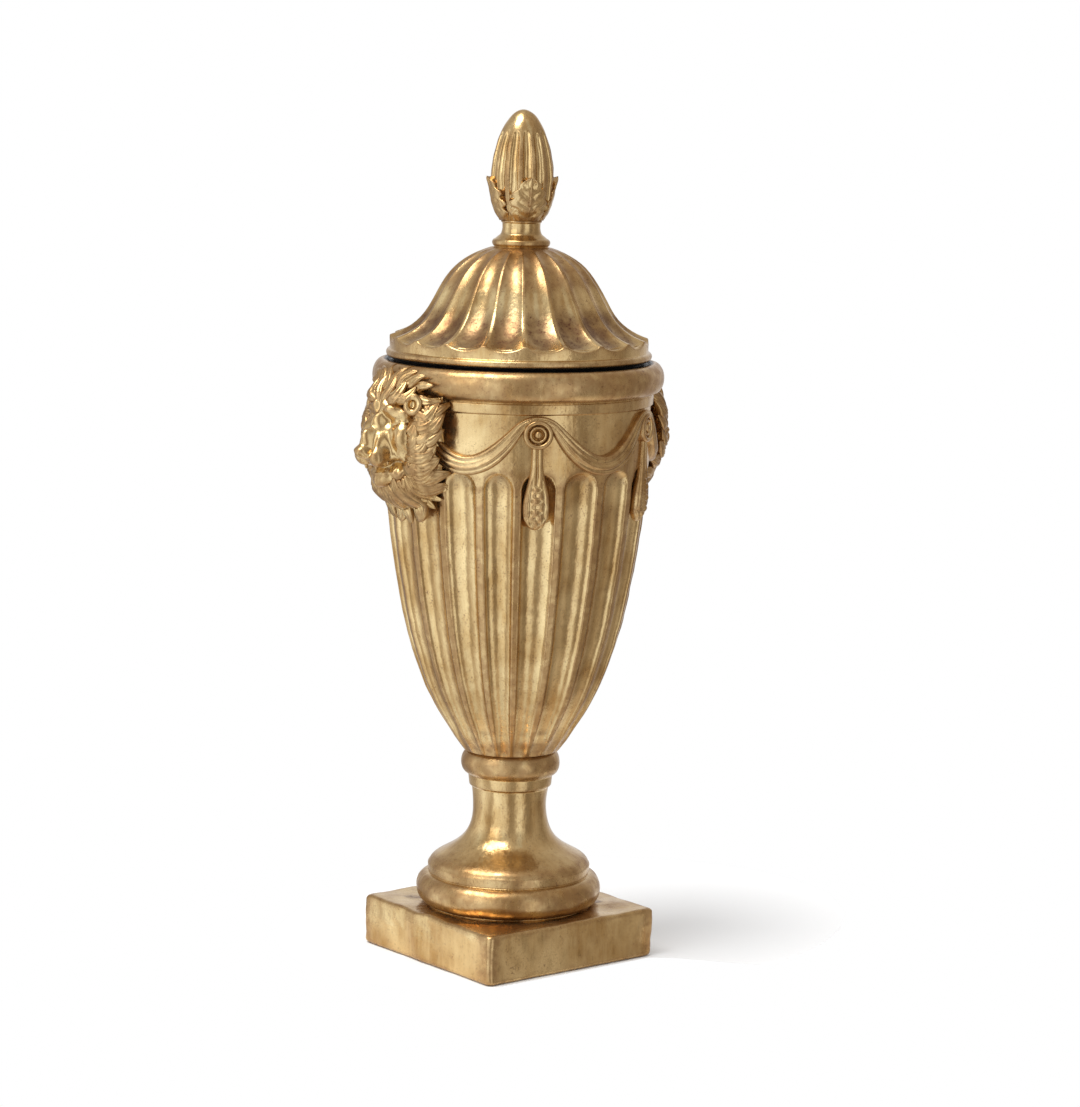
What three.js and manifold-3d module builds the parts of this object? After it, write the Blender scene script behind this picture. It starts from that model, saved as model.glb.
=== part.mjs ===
// A lidded mantel urn: a square plinth, a round foot, a fluted bowl with two lion masks, swags,
// rosettes and tassels, and a fluted lid with an egg finial. Millimetres, +Z up, front towards -Y.
// The origin is at the middle of the plinth's underside. The masks face -X and +X.

import * as THREE from "three";
import { mergeVertices } from "three/addons/utils/BufferGeometryUtils.js";
import Module from "manifold-3d";

// Plinth
const plinthSide = 124;
const plinthHeight = 29.7;
const plinthCornerRadius = 3.4;
const plinthEdgeRound = 1.6;

// Foot and stem, from the plinth up
const footTorusRadius = 55.1;
const footTorusHeight = 18.5;
const footTorusBulge = 7.4;
const footBandRadius = 48;
const footBandHeight = 6.2;
const stemHeight = 46.6;
const stemRadius = 21.7;
const collarBandRadius = 24.5;
const collarBandHeight = 6.5;
const collarTorusRadius = 29.5;
const collarTorusHeight = 15.5;
const collarTorusBulge = 3.6;

// Bowl, from the collar up to the rim
const bowlRadius = 78;
const bowlHeight = 207.4;
const bowlFootRadius = 28.7;
const bandRadius = 79.4;
const bandHeight = 6.3;
const rimRadius = 85.5;
const rimHeight = 17.9;
const rimCrestRadius = 79.6;

// The hollow, its mouth and the flat step that carries the lid
const bowlWall = 8;
const bowlFloorHeight = 24;
const mouthRadius = 67.5;
const mouthLipHeight = 9;
const seatRadius = 76;
const seatSink = 1.2;

// Flutes, the same count on bowl and lid
const fluteCount = 20;
const fluteDepthShare = 0.165;
const landShare = 0.2;
const lidLandShare = 0.05;
const fluteTopBelowBand = 33.4;
const tasselNudge = 2.8;

// Lid
const lidRestGap = 0.3;
const lidShadowGap = 1.5;
const lidSeatRingRadius = 73.5;
const spigotClearance = 1.5;
const spigotDrop = 7;
const lidWall = 6;
const flangeRadius = 77.9;
const flangeHeight = 5;
const skirtRadius = 75.8;
const skirtHeight = 7.4;
const skirtEdgeHeight = 5.9;
const skirtNotchDepth = 3.3;
const domeHeight = 51.5;
const domeTopRadius = 18.5;

// Finial
const finialBaseHeight = 9.5;
const finialRingRadius = 16.8;
const finialRingHeight = 5.6;
const finialNeckRadius = 11.1;
const finialNeckHeight = 6.5;
const finialEggRadius = 18.4;
const finialEggHeight = 64;
const finialSwellShare = 0.375;
const eggFluteCount = 14;
const eggFluteTurn = 9;
const eggFluteDepth = 1.1;
const leafCount = 4;
const leafTurn = -23.5;
const leafHeight = 24;
const leafThickness = 2.2;

// Ornaments on the bowl
const rosetteAngle = 30;
const rosetteRadius = 8.4;
const rosetteBelowBand = 10.9;
const swagRise = 4.4;
const swagSag = 26.4;
const swagWidth = 11.4;
const swagEndWidth = 5;
const swagKnotRound = 0.3;
const tasselLength = 46.6;
const tasselWidth = 15.9;
const maskBelowRim = 43.6;
const maskHalfWidth = 35.5;
const maskHalfHeight = 42;
const noseReach = 117;
const lockCount = 12;

// Sides of the plain round parts, and how deep an ornament is sunk into the wall
const roundSides = 30;
const insideSides = 20;
const rosetteSides = 10;
const ornamentSink = 4;

// Heights, each worked out from the one below
const footBandBottom = plinthHeight + footTorusHeight;
const stemBottom = footBandBottom + footBandHeight;
const collarBottom = stemBottom + stemHeight;
const collarTorusBottom = collarBottom + collarBandHeight;
const bowlBottom = collarTorusBottom + collarTorusHeight;
const bandBottom = bowlBottom + bowlHeight;
const rimBottom = bandBottom + bandHeight;
const rimTop = rimBottom + rimHeight;
const seatHeight = rimTop - seatSink;
const flangeBottom = rimTop + lidShadowGap;
const skirtBottom = flangeBottom + flangeHeight;
const domeBottom = skirtBottom + skirtHeight;
const finialBottom = domeBottom + domeHeight;
const fluteTop = bandBottom - fluteTopBelowBand;

const radians = THREE.MathUtils.degToRad;
const lerp = THREE.MathUtils.lerp;

// A point at an angle from the front, anticlockwise seen from above.
function polar(angle, radius, z) {
  return new THREE.Vector3(radius * Math.sin(angle), -radius * Math.cos(angle), z);
}

function roundRing(radius, z, sides = roundSides) {
  return Array.from({ length: sides }, (_, i) => polar((2 * Math.PI * i) / sides, radius, z));
}

// The triangles between two rings, which may have different counts or be a single point.
function stitch(firstA, countA, firstB, countB) {
  const faces = [];
  let a = countA === 1 ? 1 : 0;
  let b = countB === 1 ? 1 : 0;
  while (a < countA || b < countB) {
    const atA = firstA + (a % countA);
    const atB = firstB + (b % countB);
    if (a < countA && (b >= countB || (a + 1) * countB <= (b + 1) * countA)) {
      faces.push(atA, firstA + ((a + 1) % countA), atB);
      a += 1;
    } else {
      faces.push(atA, firstB + ((b + 1) % countB), atB);
      b += 1;
    }
  }
  return faces;
}

// A closed skin over a run of rings. Each ring goes anticlockwise, looked at from the run's end.
// The first and last rings are single points, or the run is a loop that meets itself.
function skin(rings) {
  const points = rings.flat();
  const faces = [];
  let first = 0;
  rings.forEach((ring, k) => {
    const next = (first + ring.length) % points.length;
    const following = rings[(k + 1) % rings.length];
    const ends = next === 0 && ring.length === 1;
    if (!ends) faces.push(...stitch(first, ring.length, next, following.length));
    first = next;
  });
  return new THREE.BufferGeometry().setFromPoints(points).setIndex(faces);
}

const wasm = await Module();
wasm.setup();

function solid(geometry) {
  const bare = geometry.clone();
  bare.deleteAttribute("normal");
  bare.deleteAttribute("uv");
  const merged = mergeVertices(bare, 1e-4);
  const triVerts = new Uint32Array(merged.index.array);
  return new wasm.Manifold(
    new wasm.Mesh({ numProp: 3, vertProperties: merged.attributes.position.array, triVerts }),
  );
}

const joined = (solids) => solids.reduce((whole, next) => whole.add(next));

function geometryOf(manifold) {
  const mesh = manifold.getMesh();
  const geometry = new THREE.BufferGeometry();
  geometry.setAttribute("position", new THREE.BufferAttribute(mesh.vertProperties, 3));
  geometry.setIndex(new THREE.BufferAttribute(mesh.triVerts, 1));
  const flat = geometry.toNonIndexed();
  flat.computeVertexNormals();
  return flat;
}

// The bowl's outer line over the flutes' lands, as a smooth curve through shares of its size.
const bowlLine = new THREE.SplineCurve(
  [
    [0, 0],
    [0.18, 0.063],
    [0.457, 0.178],
    [0.686, 0.333],
    [0.826, 0.488],
    [0.925, 0.643],
    [0.995, 0.84],
    [1, 1],
  ].map(
    ([out, up]) =>
      new THREE.Vector2(lerp(bowlFootRadius, bowlRadius, out), bowlBottom + up * bowlHeight),
  ),
);

// The radius of a line that only rises, at a height, by halving.
function radiusOn(line, z) {
  let low = 0;
  let high = 1;
  for (let i = 0; i < 30; i++) {
    const middle = (low + high) / 2;
    if (line.getPoint(middle).y < z) low = middle;
    else high = middle;
  }
  return line.getPoint(low).x;
}

const bowlRadiusAt = (z) => radiusOn(bowlLine, z);

// The angle of a land. Those beside a tassel stand a little aside, so that it hangs in a flute.
function landAngle(index) {
  const turn = ((index + fluteCount / 2) % fluteCount) - fluteCount / 2;
  const angle = (360 / fluteCount) * Math.abs(turn);
  const fromFace = Math.min(angle, 180 - angle);
  const nudged = fromFace + tasselNudge * Math.exp(-(((fromFace - 28) / 14) ** 2));
  return radians(Math.sign(turn) * (angle < 90 ? nudged : 180 - nudged));
}

const fluteDepth = (radius) => (2 * Math.PI * radius * fluteDepthShare) / fluteCount;

// One ring of lands and hollow flutes. The lands stand at the radius and height of `at`, the
// flutes' floors lie off it by `sink`, and `open` is their width as a share of the full one.
function flutedRing(at, sink, open = 1, land = landShare, angleOf = landAngle) {
  const ring = [];
  for (let k = 0; k < fluteCount; k++) {
    const left = angleOf(k);
    const right = angleOf(k + 1) + (k + 1 === fluteCount / 2 ? 2 * Math.PI : 0);
    const middle = (left + right) / 2;
    const half = ((right - left) / 2) * (1 - land) * open;
    for (const [across, down] of [[-1, 0], [-0.5, 0.85], [0.5, 0.85], [1, 0]])
      ring.push(polar(middle + across * half, at.x + down * sink.x, at.y + down * sink.y));
  }
  return ring;
}

// Half an oval moulding, from its lower edge round to its upper one.
function torusRings(outerRadius, bulge, bottom, height, steps) {
  return Array.from({ length: steps + 1 }, (_, i) => {
    const turn = Math.PI * (i / steps - 0.5);
    const radius = outerRadius - bulge * (1 - Math.cos(turn));
    return roundRing(radius, bottom + (height / 2) * (1 + Math.sin(turn)));
  });
}

function footAndStemRings() {
  const flare = new THREE.CubicBezierCurve(
    new THREE.Vector2(footBandRadius - 0.4, stemBottom),
    new THREE.Vector2(footBandRadius - 5, stemBottom + 0.19 * stemHeight),
    new THREE.Vector2(stemRadius - 6, stemBottom + 0.17 * stemHeight),
    new THREE.Vector2(stemRadius + 1.4, collarBottom),
  );
  return [
    ...torusRings(footTorusRadius, footTorusBulge, plinthHeight, footTorusHeight, 5),
    roundRing(footBandRadius, footBandBottom + 0.4),
    roundRing(footBandRadius, stemBottom - 0.4),
    ...flare.getPoints(7).map((p) => roundRing(p.x, p.y)),
    roundRing(collarBandRadius, collarBottom + 0.4),
    roundRing(collarBandRadius, collarTorusBottom - 0.4),
    ...torusRings(collarTorusRadius, collarTorusBulge, collarTorusBottom, collarTorusHeight, 4),
  ];
}

function bowlRings() {
  const archHeight = (Math.PI * bowlRadius * (1 - landShare)) / fluteCount;
  const spring = fluteTop - archHeight;
  const rise = spring - bowlBottom;
  const ring = (z, open, deep) => {
    const at = new THREE.Vector2(bowlRadiusAt(z), z);
    return flutedRing(at, new THREE.Vector2(-deep * fluteDepth(at.x), 0), open);
  };
  const plain = [0.01, 0.09, 0.22, 0.42, 0.7, 1].map((up) =>
    ring(bowlBottom + up * rise, 1, Math.min(1, 0.25 + 4 * up)),
  );
  const arch = [0.5, 0.8, 0.95].map((up) => {
    const open = Math.sqrt(1 - up * up);
    return ring(spring + up * archHeight, open, open);
  });
  return [...plain, ...arch, roundRing(bowlRadiusAt(fluteTop + 1), fluteTop + 1)];
}

function rimRings() {
  const crest = rimTop - 0.25 * rimHeight;
  return [
    roundRing(bowlRadius, bandBottom - 0.3),
    roundRing(bandRadius, bandBottom + 0.3),
    roundRing(bandRadius, rimBottom - 0.4),
    roundRing(lerp(bandRadius, rimRadius, 0.6), rimBottom + 0.12 * rimHeight),
    roundRing(rimRadius - 0.3, rimBottom + 0.36 * rimHeight),
    roundRing(rimRadius, rimBottom + 0.52 * rimHeight),
    roundRing(lerp(rimCrestRadius, rimRadius, 0.78), crest + 0.3),
    roundRing(lerp(rimCrestRadius, rimRadius, 0.42), rimTop - 0.6),
    roundRing(rimCrestRadius, rimTop),
    roundRing(seatRadius + 1, rimTop),
    roundRing(seatRadius, seatHeight),
  ];
}

// The inside, from the mouth down to the rounded floor.
function hollowRings() {
  const floor = bowlBottom + bowlFloorHeight;
  const lipBottom = seatHeight - mouthLipHeight;
  const depth = lipBottom - 2.5 - floor;
  const wide = (z) => Math.min(bowlRadiusAt(Math.min(z, bandBottom)), bowlRadius) - bowlWall;
  const wall = [1, 0.7, 0.42, 0.2, 0.06].map((up) => {
    const z = floor + up * depth;
    return roundRing(wide(z), z, insideSides);
  });
  return [
    roundRing(mouthRadius, seatHeight, insideSides),
    roundRing(mouthRadius, lipBottom, insideSides),
    ...wall,
    roundRing(wide(floor) * 0.6, floor + 0.015 * depth, insideSides),
    [new THREE.Vector3(0, 0, floor)],
  ];
}

function plinth() {
  const half = plinthSide / 2 - plinthEdgeRound;
  const corner = plinthCornerRadius - plinthEdgeRound;
  const outline = new THREE.Shape();
  outline.moveTo(half, half - corner);
  for (let k = 0; k < 4; k++) {
    const angle = (Math.PI / 2) * k;
    const out = half - corner;
    const x = out * (Math.cos(angle) - Math.sin(angle));
    const y = out * (Math.cos(angle) + Math.sin(angle));
    outline.absarc(x, y, corner, angle, angle + Math.PI / 2);
  }
  const slab = new THREE.ExtrudeGeometry(outline, {
    depth: plinthHeight - 2 * plinthEdgeRound,
    bevelThickness: plinthEdgeRound,
    bevelSize: plinthEdgeRound,
    bevelSegments: 1,
    curveSegments: 3,
  });
  return solid(slab.translate(0, 0, plinthEdgeRound));
}

// The draped bands, one closed loop round the bowl. It passes round each knot in a small curve and
// hangs down between them, and is two rolls of cloth side by side.
function swags(knots) {
  const steps = 6;
  const endHeight = bandBottom - swagEndWidth / 2 - 1;
  const section = [[0, -ornamentSink], [1, -0.6], [0.55, 1], [0, 0.5], [-0.5, 0.85], [-1, -0.6]];
  const rings = knots.flatMap((from, knot) => {
    const to = knot + 1 < knots.length ? knots[knot + 1] : knots[0] + 360;
    const place = (t) => {
      const drop = Math.hypot(Math.sin(Math.PI * t), swagKnotRound) - swagKnotRound;
      const z = endHeight - (swagSag * drop) / (Math.hypot(1, swagKnotRound) - swagKnotRound);
      return new THREE.Vector2(radians(lerp(from, to, t)) * bowlRadius, z);
    };
    return Array.from({ length: steps }, (_, i) => {
      const t = i / steps;
      const middle = place(t);
      const along = place(t + 0.02).sub(place(t - 0.02)).normalize();
      const half = lerp(swagEndWidth, swagWidth, Math.sin(Math.PI * t)) / 2;
      return section.map(([across, out]) => {
        const arc = middle.x - along.y * across * half;
        const z = middle.y + along.x * across * half;
        const rise = out < 0 ? out : out * swagRise;
        return polar(arc / bowlRadius, bowlRadiusAt(Math.min(z, bandBottom)) + rise, z);
      });
    });
  });
  return solid(skin(rings));
}

function rosette(angle) {
  const r = rosetteRadius;
  const profile = [[0, -3], [1, -3], [1, 2], [0.87, 3.6], [0.58, 2.4], [0.45, 4.2], [0, 4.8]];
  const disc = new THREE.LatheGeometry(
    profile.map(([share, height]) => new THREE.Vector2(share * r, height)),
    rosetteSides,
  );
  const out = polar(radians(angle), bowlRadius, bandBottom - rosetteBelowBand);
  return solid(disc.rotateX(Math.PI).rotateZ(radians(angle)).translate(out.x, out.y, out.z));
}

// A drop of husks under a rosette, slim above and swelling to a lump near its end.
function tassel(angle) {
  const top = bandBottom - rosetteBelowBand - rosetteRadius;
  const downAndWide = [
    [0, 0.42],
    [0.16, 0.4],
    [0.34, 0.56],
    [0.52, 0.8],
    [0.7, 0.98],
    [0.84, 1],
    [0.95, 0.66],
  ];
  const section = [[0, 0], [1, 0.55], [0.6, 1], [-0.6, 1], [-1, 0.55]];
  const rings = downAndWide.map(([down, wide]) => {
    const z = top - down * tasselLength;
    const half = (wide * tasselWidth) / 2;
    const back = bowlRadiusAt(z) - ornamentSink;
    return section.map(([across, out]) => {
      const deep = out * (ornamentSink + half * 0.8);
      return polar(radians(angle) + (across * half) / bowlRadius, back + deep, z);
    });
  });
  const end = (z) => [polar(radians(angle), bowlRadiusAt(z), z)];
  return solid(skin([end(top + 1), ...rings, end(top - tasselLength)]));
}

// The masses of a lion's face, one side of it: sideways and up from the nose, how far each stands
// out from the axis in front of the wall, its half width and half height, and its depth.
const faceMasses = [
  { side: 0, up: 9, out: 101, wide: 19, tall: 26, deep: 18 },
  { side: 7.5, up: 25, out: 105.5, wide: 8, tall: 6, deep: 9 },
  { side: 0, up: 17, out: 108, wide: 5, tall: 12, deep: 12 },
  { side: 0, up: 7, out: 113, wide: 5.5, tall: 10, deep: 14 },
  { side: 0, up: 0, out: noseReach, wide: 6, tall: 5, deep: 12 },
  { side: 7, up: -2, out: 110.5, wide: 8.5, tall: 7.5, deep: 13 },
  { side: 14, up: 9, out: 99.5, wide: 7, tall: 10, deep: 12 },
  { side: 9, up: 19, out: 101, wide: 4.5, tall: 3, deep: 8 },
  { side: 0, up: -16, out: 102.5, wide: 9, tall: 6, deep: 16 },
];
const faceEdgeReach = 89;
const mouthBelowNose = 9;
const mouthDepth = 8;

// How far the face stands out from the axis, sideways and up from the nose.
function faceReach(side, up) {
  let reach = faceEdgeReach;
  for (const mass of faceMasses) {
    const x = (Math.abs(side) - mass.side) / mass.wide;
    const y = (up - mass.up) / mass.tall;
    const inside = 1 - x * x - y * y;
    if (inside > 0) reach = Math.max(reach, mass.out - mass.deep * (1 - Math.sqrt(inside)));
  }
  const mouth = Math.exp(-(((up + mouthBelowNose) / 2.4) ** 2)) * (Math.abs(side) < 14 ? 1 : 0);
  return Math.max(faceEdgeReach, reach - mouthDepth * mouth);
}

// A lion mask, as rings from its buried edge over the mane's locks to the tip of the nose.
function lionMask(angle) {
  const columns = 2 * lockCount;
  const middle = rimTop - maskBelowRim;
  const nose = middle - 5;
  const wallReach = (side, z) => {
    const bowl = bowlRadiusAt(Math.min(z, bandBottom));
    const wall = z > rimBottom ? lerp(bandRadius, rimRadius, 0.3) : bowl;
    return Math.sqrt(Math.max(wall * wall - side * side, 0));
  };
  const at = (share, column, edge) => {
    const turn = (2 * Math.PI * column) / columns;
    const sway = 0.16 * Math.sin(Math.PI * share) * Math.cos(turn);
    const face = [19 * Math.cos(turn), 5 + 25 * Math.sin(turn)];
    const reach = column % 2 ? edge : 1;
    const tip = [
      maskHalfWidth * reach * Math.cos(turn + sway),
      5 + maskHalfHeight * reach * Math.sin(turn + sway),
    ];
    return [lerp(face[0], tip[0], share), lerp(face[1], tip[1], share)];
  };
  const ring = (share, edge, reachOf) =>
    Array.from({ length: columns }, (_, column) => {
      const [side, up] = at(share, column, edge);
      const reach = reachOf(side, nose + up, column % 2 ? -1 : 1);
      return new THREE.Vector3(side, -reach, nose + up);
    });
  const mane = (share, edge, stand, ridge) =>
    ring(share, edge, (side, z, sign) => {
      const wall = wallReach(side, z);
      return lerp(wall, Math.max(wall, faceEdgeReach + 5), stand) + sign * ridge;
    });
  const face = (share) =>
    Array.from({ length: columns }, (_, column) => {
      const [side, up] = at(0, column, 1).map((v) => v * share);
      return new THREE.Vector3(side, -faceReach(side, up), nose + up);
    });
  const rings = [
    [new THREE.Vector3(0, -(bowlRadius - ornamentSink), middle)],
    mane(1, 0.84, 0, -ornamentSink).map((p) => p.setY(-(wallReach(p.x, p.z) - ornamentSink))),
    mane(1, 0.84, 0.12, 0.6),
    mane(0.72, 0.9, 0.62, 1.7),
    mane(0.4, 1, 0.95, 1.9),
    mane(0.12, 1, 1, 1.2),
    ...[1, 0.84, 0.68, 0.52, 0.35, 0.17].map(face),
    [new THREE.Vector3(0, -noseReach, nose)],
  ];
  const ears = [-1, 1].map((side) => {
    const ear = new THREE.SphereGeometry(1, 7, 5).scale(5.2, 6.5, 5.6);
    return ear.translate(side * 20, -(faceEdgeReach + 2), nose + 28);
  });
  return joined([skin(rings), ...ears].map((form) => solid(form.rotateZ(radians(angle)))));
}

function urnBody() {
  const shell = solid(
    skin([
      [new THREE.Vector3(0, 0, plinthHeight - ornamentSink)],
      roundRing(footTorusRadius - footTorusBulge, plinthHeight - ornamentSink),
      ...footAndStemRings(),
      ...bowlRings(),
      ...rimRings(),
      ...hollowRings(),
    ]),
  );
  const faces = [0, 180];
  const rosettes = faces.flatMap((face) => [face - rosetteAngle, face + rosetteAngle]);
  const knots = faces.flatMap((face) => [face - 90, face - rosetteAngle, face + rosetteAngle]);
  return joined([
    shell,
    plinth(),
    swags(knots),
    ...rosettes.map(rosette),
    ...rosettes.map(tassel),
    lionMask(-90),
    lionMask(90),
  ]);
}

const evenAngle = (index) => {
  const turn = ((index + fluteCount / 2) % fluteCount) - fluteCount / 2;
  return (2 * Math.PI * turn) / fluteCount;
};

// A leaf of the cup under the egg, a curved blade that leans on the egg with its tip free.
function cupLeaf(index, cupBottom, radiusAt) {
  const angle = radians(leafTurn) + (2 * Math.PI * index) / leafCount;
  const half = (Math.PI / leafCount) * 0.98;
  const blade = [[0, 0.9, 0.1], [0.3, 1, 0.7], [0.55, 0.98, 1], [0.78, 0.72, 1], [0.92, 0.4, 1.3]];
  const rings = blade.map(([up, wide, thick]) => {
    const z = cupBottom + up * leafHeight;
    const radius = radiusAt(z);
    const outer = radius + thick * leafThickness;
    const section = [
      [0, radius - 3],
      [-1, radius - 0.4],
      [-0.5, outer - 0.6],
      [0, outer],
      [0.5, outer - 0.6],
      [1, radius - 0.4],
    ];
    return section.map(([across, reach]) => polar(angle + across * wide * half, reach, z));
  });
  const end = (z, radius) => [polar(angle, radius, z)];
  const top = cupBottom + leafHeight;
  return solid(
    skin([
      end(cupBottom - 1, radiusAt(cupBottom) - 1),
      ...rings,
      end(top, radiusAt(top) + leafThickness),
    ]),
  );
}

function urnLid() {
  const dome = new THREE.CubicBezierCurve(
    new THREE.Vector2(skirtRadius - 0.3, domeBottom),
    new THREE.Vector2(0.57 * skirtRadius, domeBottom + 0.18 * domeHeight),
    new THREE.Vector2(0.735 * skirtRadius, domeBottom + 0.78 * domeHeight),
    new THREE.Vector2(domeTopRadius, finialBottom),
  );
  const spigotRadius = mouthRadius - spigotClearance;
  const seatRest = seatHeight + lidRestGap;
  const spigotBottom = seatRest - spigotDrop;
  const innerRadius = spigotRadius - lidWall;
  const round = (radius, z) => roundRing(radius, z, insideSides);
  const inside = [0.93, 0.7, 0.42, 0.12].map((t) => {
    const p = dome.getPoint(t);
    return round(Math.min(p.x - lidWall, innerRadius), p.y - lidWall);
  });
  const ceiling = dome.getPoint(0.93).y - lidWall;

  const lidFlutes = (at, sink) => flutedRing(at, sink, 1, lidLandShare, evenAngle);
  const domeRings = [0, 0.17, 0.36, 0.57, 0.79, 0.98].map((t, i, all) => {
    const at = dome.getPoint(t);
    const along = dome.getTangent(t);
    const depth = fluteDepth(at.x) * (i + 1 === all.length ? 0.4 : 1);
    return lidFlutes(at, new THREE.Vector2(-along.y, along.x).multiplyScalar(depth));
  });
  const skirtEdge = lidFlutes(
    new THREE.Vector2(skirtRadius, skirtBottom + skirtEdgeHeight),
    new THREE.Vector2(0, -skirtNotchDepth),
  );

  const ringTop = finialBottom + finialRingHeight;
  const neckBottom = finialBottom + finialBaseHeight;
  const eggBottom = neckBottom + finialNeckHeight;
  const swell = finialEggRadius;
  const egg = new THREE.CubicBezierCurve(
    new THREE.Vector2(swell, eggBottom + finialSwellShare * finialEggHeight),
    new THREE.Vector2(0.957 * swell, eggBottom + 0.765 * finialEggHeight),
    new THREE.Vector2(0.39 * swell, eggBottom + finialEggHeight),
    new THREE.Vector2(0, eggBottom + finialEggHeight),
  );
  const cup = new THREE.CubicBezierCurve(
    new THREE.Vector2(finialNeckRadius, eggBottom - 2),
    new THREE.Vector2(finialNeckRadius + 3, eggBottom + 0.06 * finialEggHeight),
    new THREE.Vector2(swell - 0.6, eggBottom + 0.12 * finialEggHeight),
    new THREE.Vector2(swell - 0.6, eggBottom + finialSwellShare * finialEggHeight),
  );
  const eggRing = (t) => {
    const p = egg.getPoint(t);
    const groove = eggFluteDepth * Math.min(1, Math.max(0, (0.72 - t) * 6));
    return Array.from({ length: 2 * eggFluteCount }, (_, i) =>
      polar(radians(eggFluteTurn) + (Math.PI * i) / eggFluteCount, p.x - (i % 2) * groove, p.y),
    );
  };
  const body = solid(
    skin([
      [new THREE.Vector3(0, 0, ceiling)],
      ...inside,
      round(innerRadius, spigotBottom),
      round(spigotRadius, spigotBottom),
      round(spigotRadius, seatRest),
      roundRing(lidSeatRingRadius, seatRest),
      roundRing(lidSeatRingRadius + 0.5, flangeBottom),
      roundRing(flangeRadius - 0.8, flangeBottom),
      roundRing(flangeRadius, flangeBottom + 0.4 * flangeHeight),
      roundRing(flangeRadius - 0.8, skirtBottom - 0.5),
      roundRing(skirtRadius - 0.6, skirtBottom),
      roundRing(skirtRadius, skirtBottom + 0.6),
      skirtEdge,
      ...domeRings,
      round(domeTopRadius, finialBottom),
      round(finialRingRadius - 0.6, finialBottom + 0.4),
      round(finialRingRadius, finialBottom + 0.3 * finialRingHeight),
      round(finialRingRadius, finialBottom + 0.75 * finialRingHeight),
      round(finialRingRadius - 0.8, ringTop),
      round(lerp(finialNeckRadius, finialRingRadius, 0.35), lerp(ringTop, neckBottom, 0.3)),
      round(lerp(finialNeckRadius, finialRingRadius, 0.1), lerp(ringTop, neckBottom, 0.65)),
      round(finialNeckRadius, neckBottom),
      ...[0, 0.3, 0.6, 1].map((t) => {
        const p = cup.getPoint(t);
        return round(p.x, p.y);
      }),
      ...[0.12, 0.3, 0.48, 0.64, 0.8, 0.93].map(eggRing),
      [new THREE.Vector3(0, 0, eggBottom + finialEggHeight)],
    ]),
  );
  const leaves = Array.from({ length: leafCount }, (_, i) =>
    cupLeaf(i, eggBottom, (z) => (z < cup.getPoint(1).y ? radiusOn(cup, z) : radiusOn(egg, z))),
  );
  return joined([body, ...leaves]);
}

// Gold leaf over a red clay ground on cast resin.
const gilt = new THREE.MeshStandardMaterial({ color: "#c9a55c", roughness: 0.34, metalness: 0.85 });

function piece(name, manifold) {
  const mesh = new THREE.Mesh(geometryOf(manifold), gilt);
  mesh.name = name;
  return mesh;
}

const urn = new THREE.Group();
urn.add(piece("urn_body", urnBody()), piece("lid", urnLid()));

export default urn;
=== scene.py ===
# %% [markdown]
# # A gilt mantel urn with lion masks
# The object is a lidded urn, about half a metre high. A turned and fluted body stands on a square
# plinth, and its ornaments are lion masks, swags of cloth, rosettes and tassels. The real one is
# cast in resin, brushed with red clay and covered with gold leaf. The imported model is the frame,
# and each piece below is a surface laid over it.

# %% Load the frame
import math

import bpy
import numpy as np
from mathutils import Matrix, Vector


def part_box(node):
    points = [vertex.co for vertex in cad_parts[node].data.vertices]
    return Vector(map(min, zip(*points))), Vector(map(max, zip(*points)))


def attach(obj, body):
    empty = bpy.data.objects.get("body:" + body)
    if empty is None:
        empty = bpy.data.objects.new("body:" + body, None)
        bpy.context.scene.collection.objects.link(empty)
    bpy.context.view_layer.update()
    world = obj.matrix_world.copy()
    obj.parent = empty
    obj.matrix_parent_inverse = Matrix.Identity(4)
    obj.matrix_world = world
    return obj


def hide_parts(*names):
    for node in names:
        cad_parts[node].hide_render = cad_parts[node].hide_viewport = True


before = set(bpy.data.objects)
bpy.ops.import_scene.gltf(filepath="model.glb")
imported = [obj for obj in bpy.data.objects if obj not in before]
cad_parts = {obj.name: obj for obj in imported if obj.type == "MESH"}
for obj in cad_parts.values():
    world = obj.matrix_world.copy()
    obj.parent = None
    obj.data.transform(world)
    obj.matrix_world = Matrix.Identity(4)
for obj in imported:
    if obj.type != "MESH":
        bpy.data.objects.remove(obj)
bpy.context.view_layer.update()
MM = 0.001
TURN = 2 * math.pi

# %% [markdown]
# ## The camera
# A long lens from two metres away keeps the plinth's sides nearly parallel, as in a catalogue
# picture. Its place was worked out from the plinth's corners and the ovals of the rims. It comes
# first, so that every piece can be looked at from there as soon as it is made.

# %% The camera
CAMERA_AZIMUTH = math.radians(-38.51)
CAMERA_AWAY = 1.975
CAMERA_HEIGHT = 0.534
CAMERA_PITCH = math.radians(8.46)
CAMERA_YAW = math.radians(-0.43)
CAMERA_ROLL = math.radians(1.21)
LENS_MM = 110.0


def camera_axes():
    """Right, up and backward directions: level towards the axis, then yawed, tipped and rolled."""
    heading = CAMERA_AZIMUTH + CAMERA_YAW
    level = np.array([-math.sin(heading), math.cos(heading), 0.0])
    right = np.array([level[1], -level[0], 0.0])
    down = np.array([0.0, 0.0, -1.0])
    ahead = level * math.cos(CAMERA_PITCH) + down * math.sin(CAMERA_PITCH)
    up = np.cross(right, ahead)
    across, along = math.cos(CAMERA_ROLL), math.sin(CAMERA_ROLL)
    return right * across + up * along, up * across - right * along, -ahead


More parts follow.
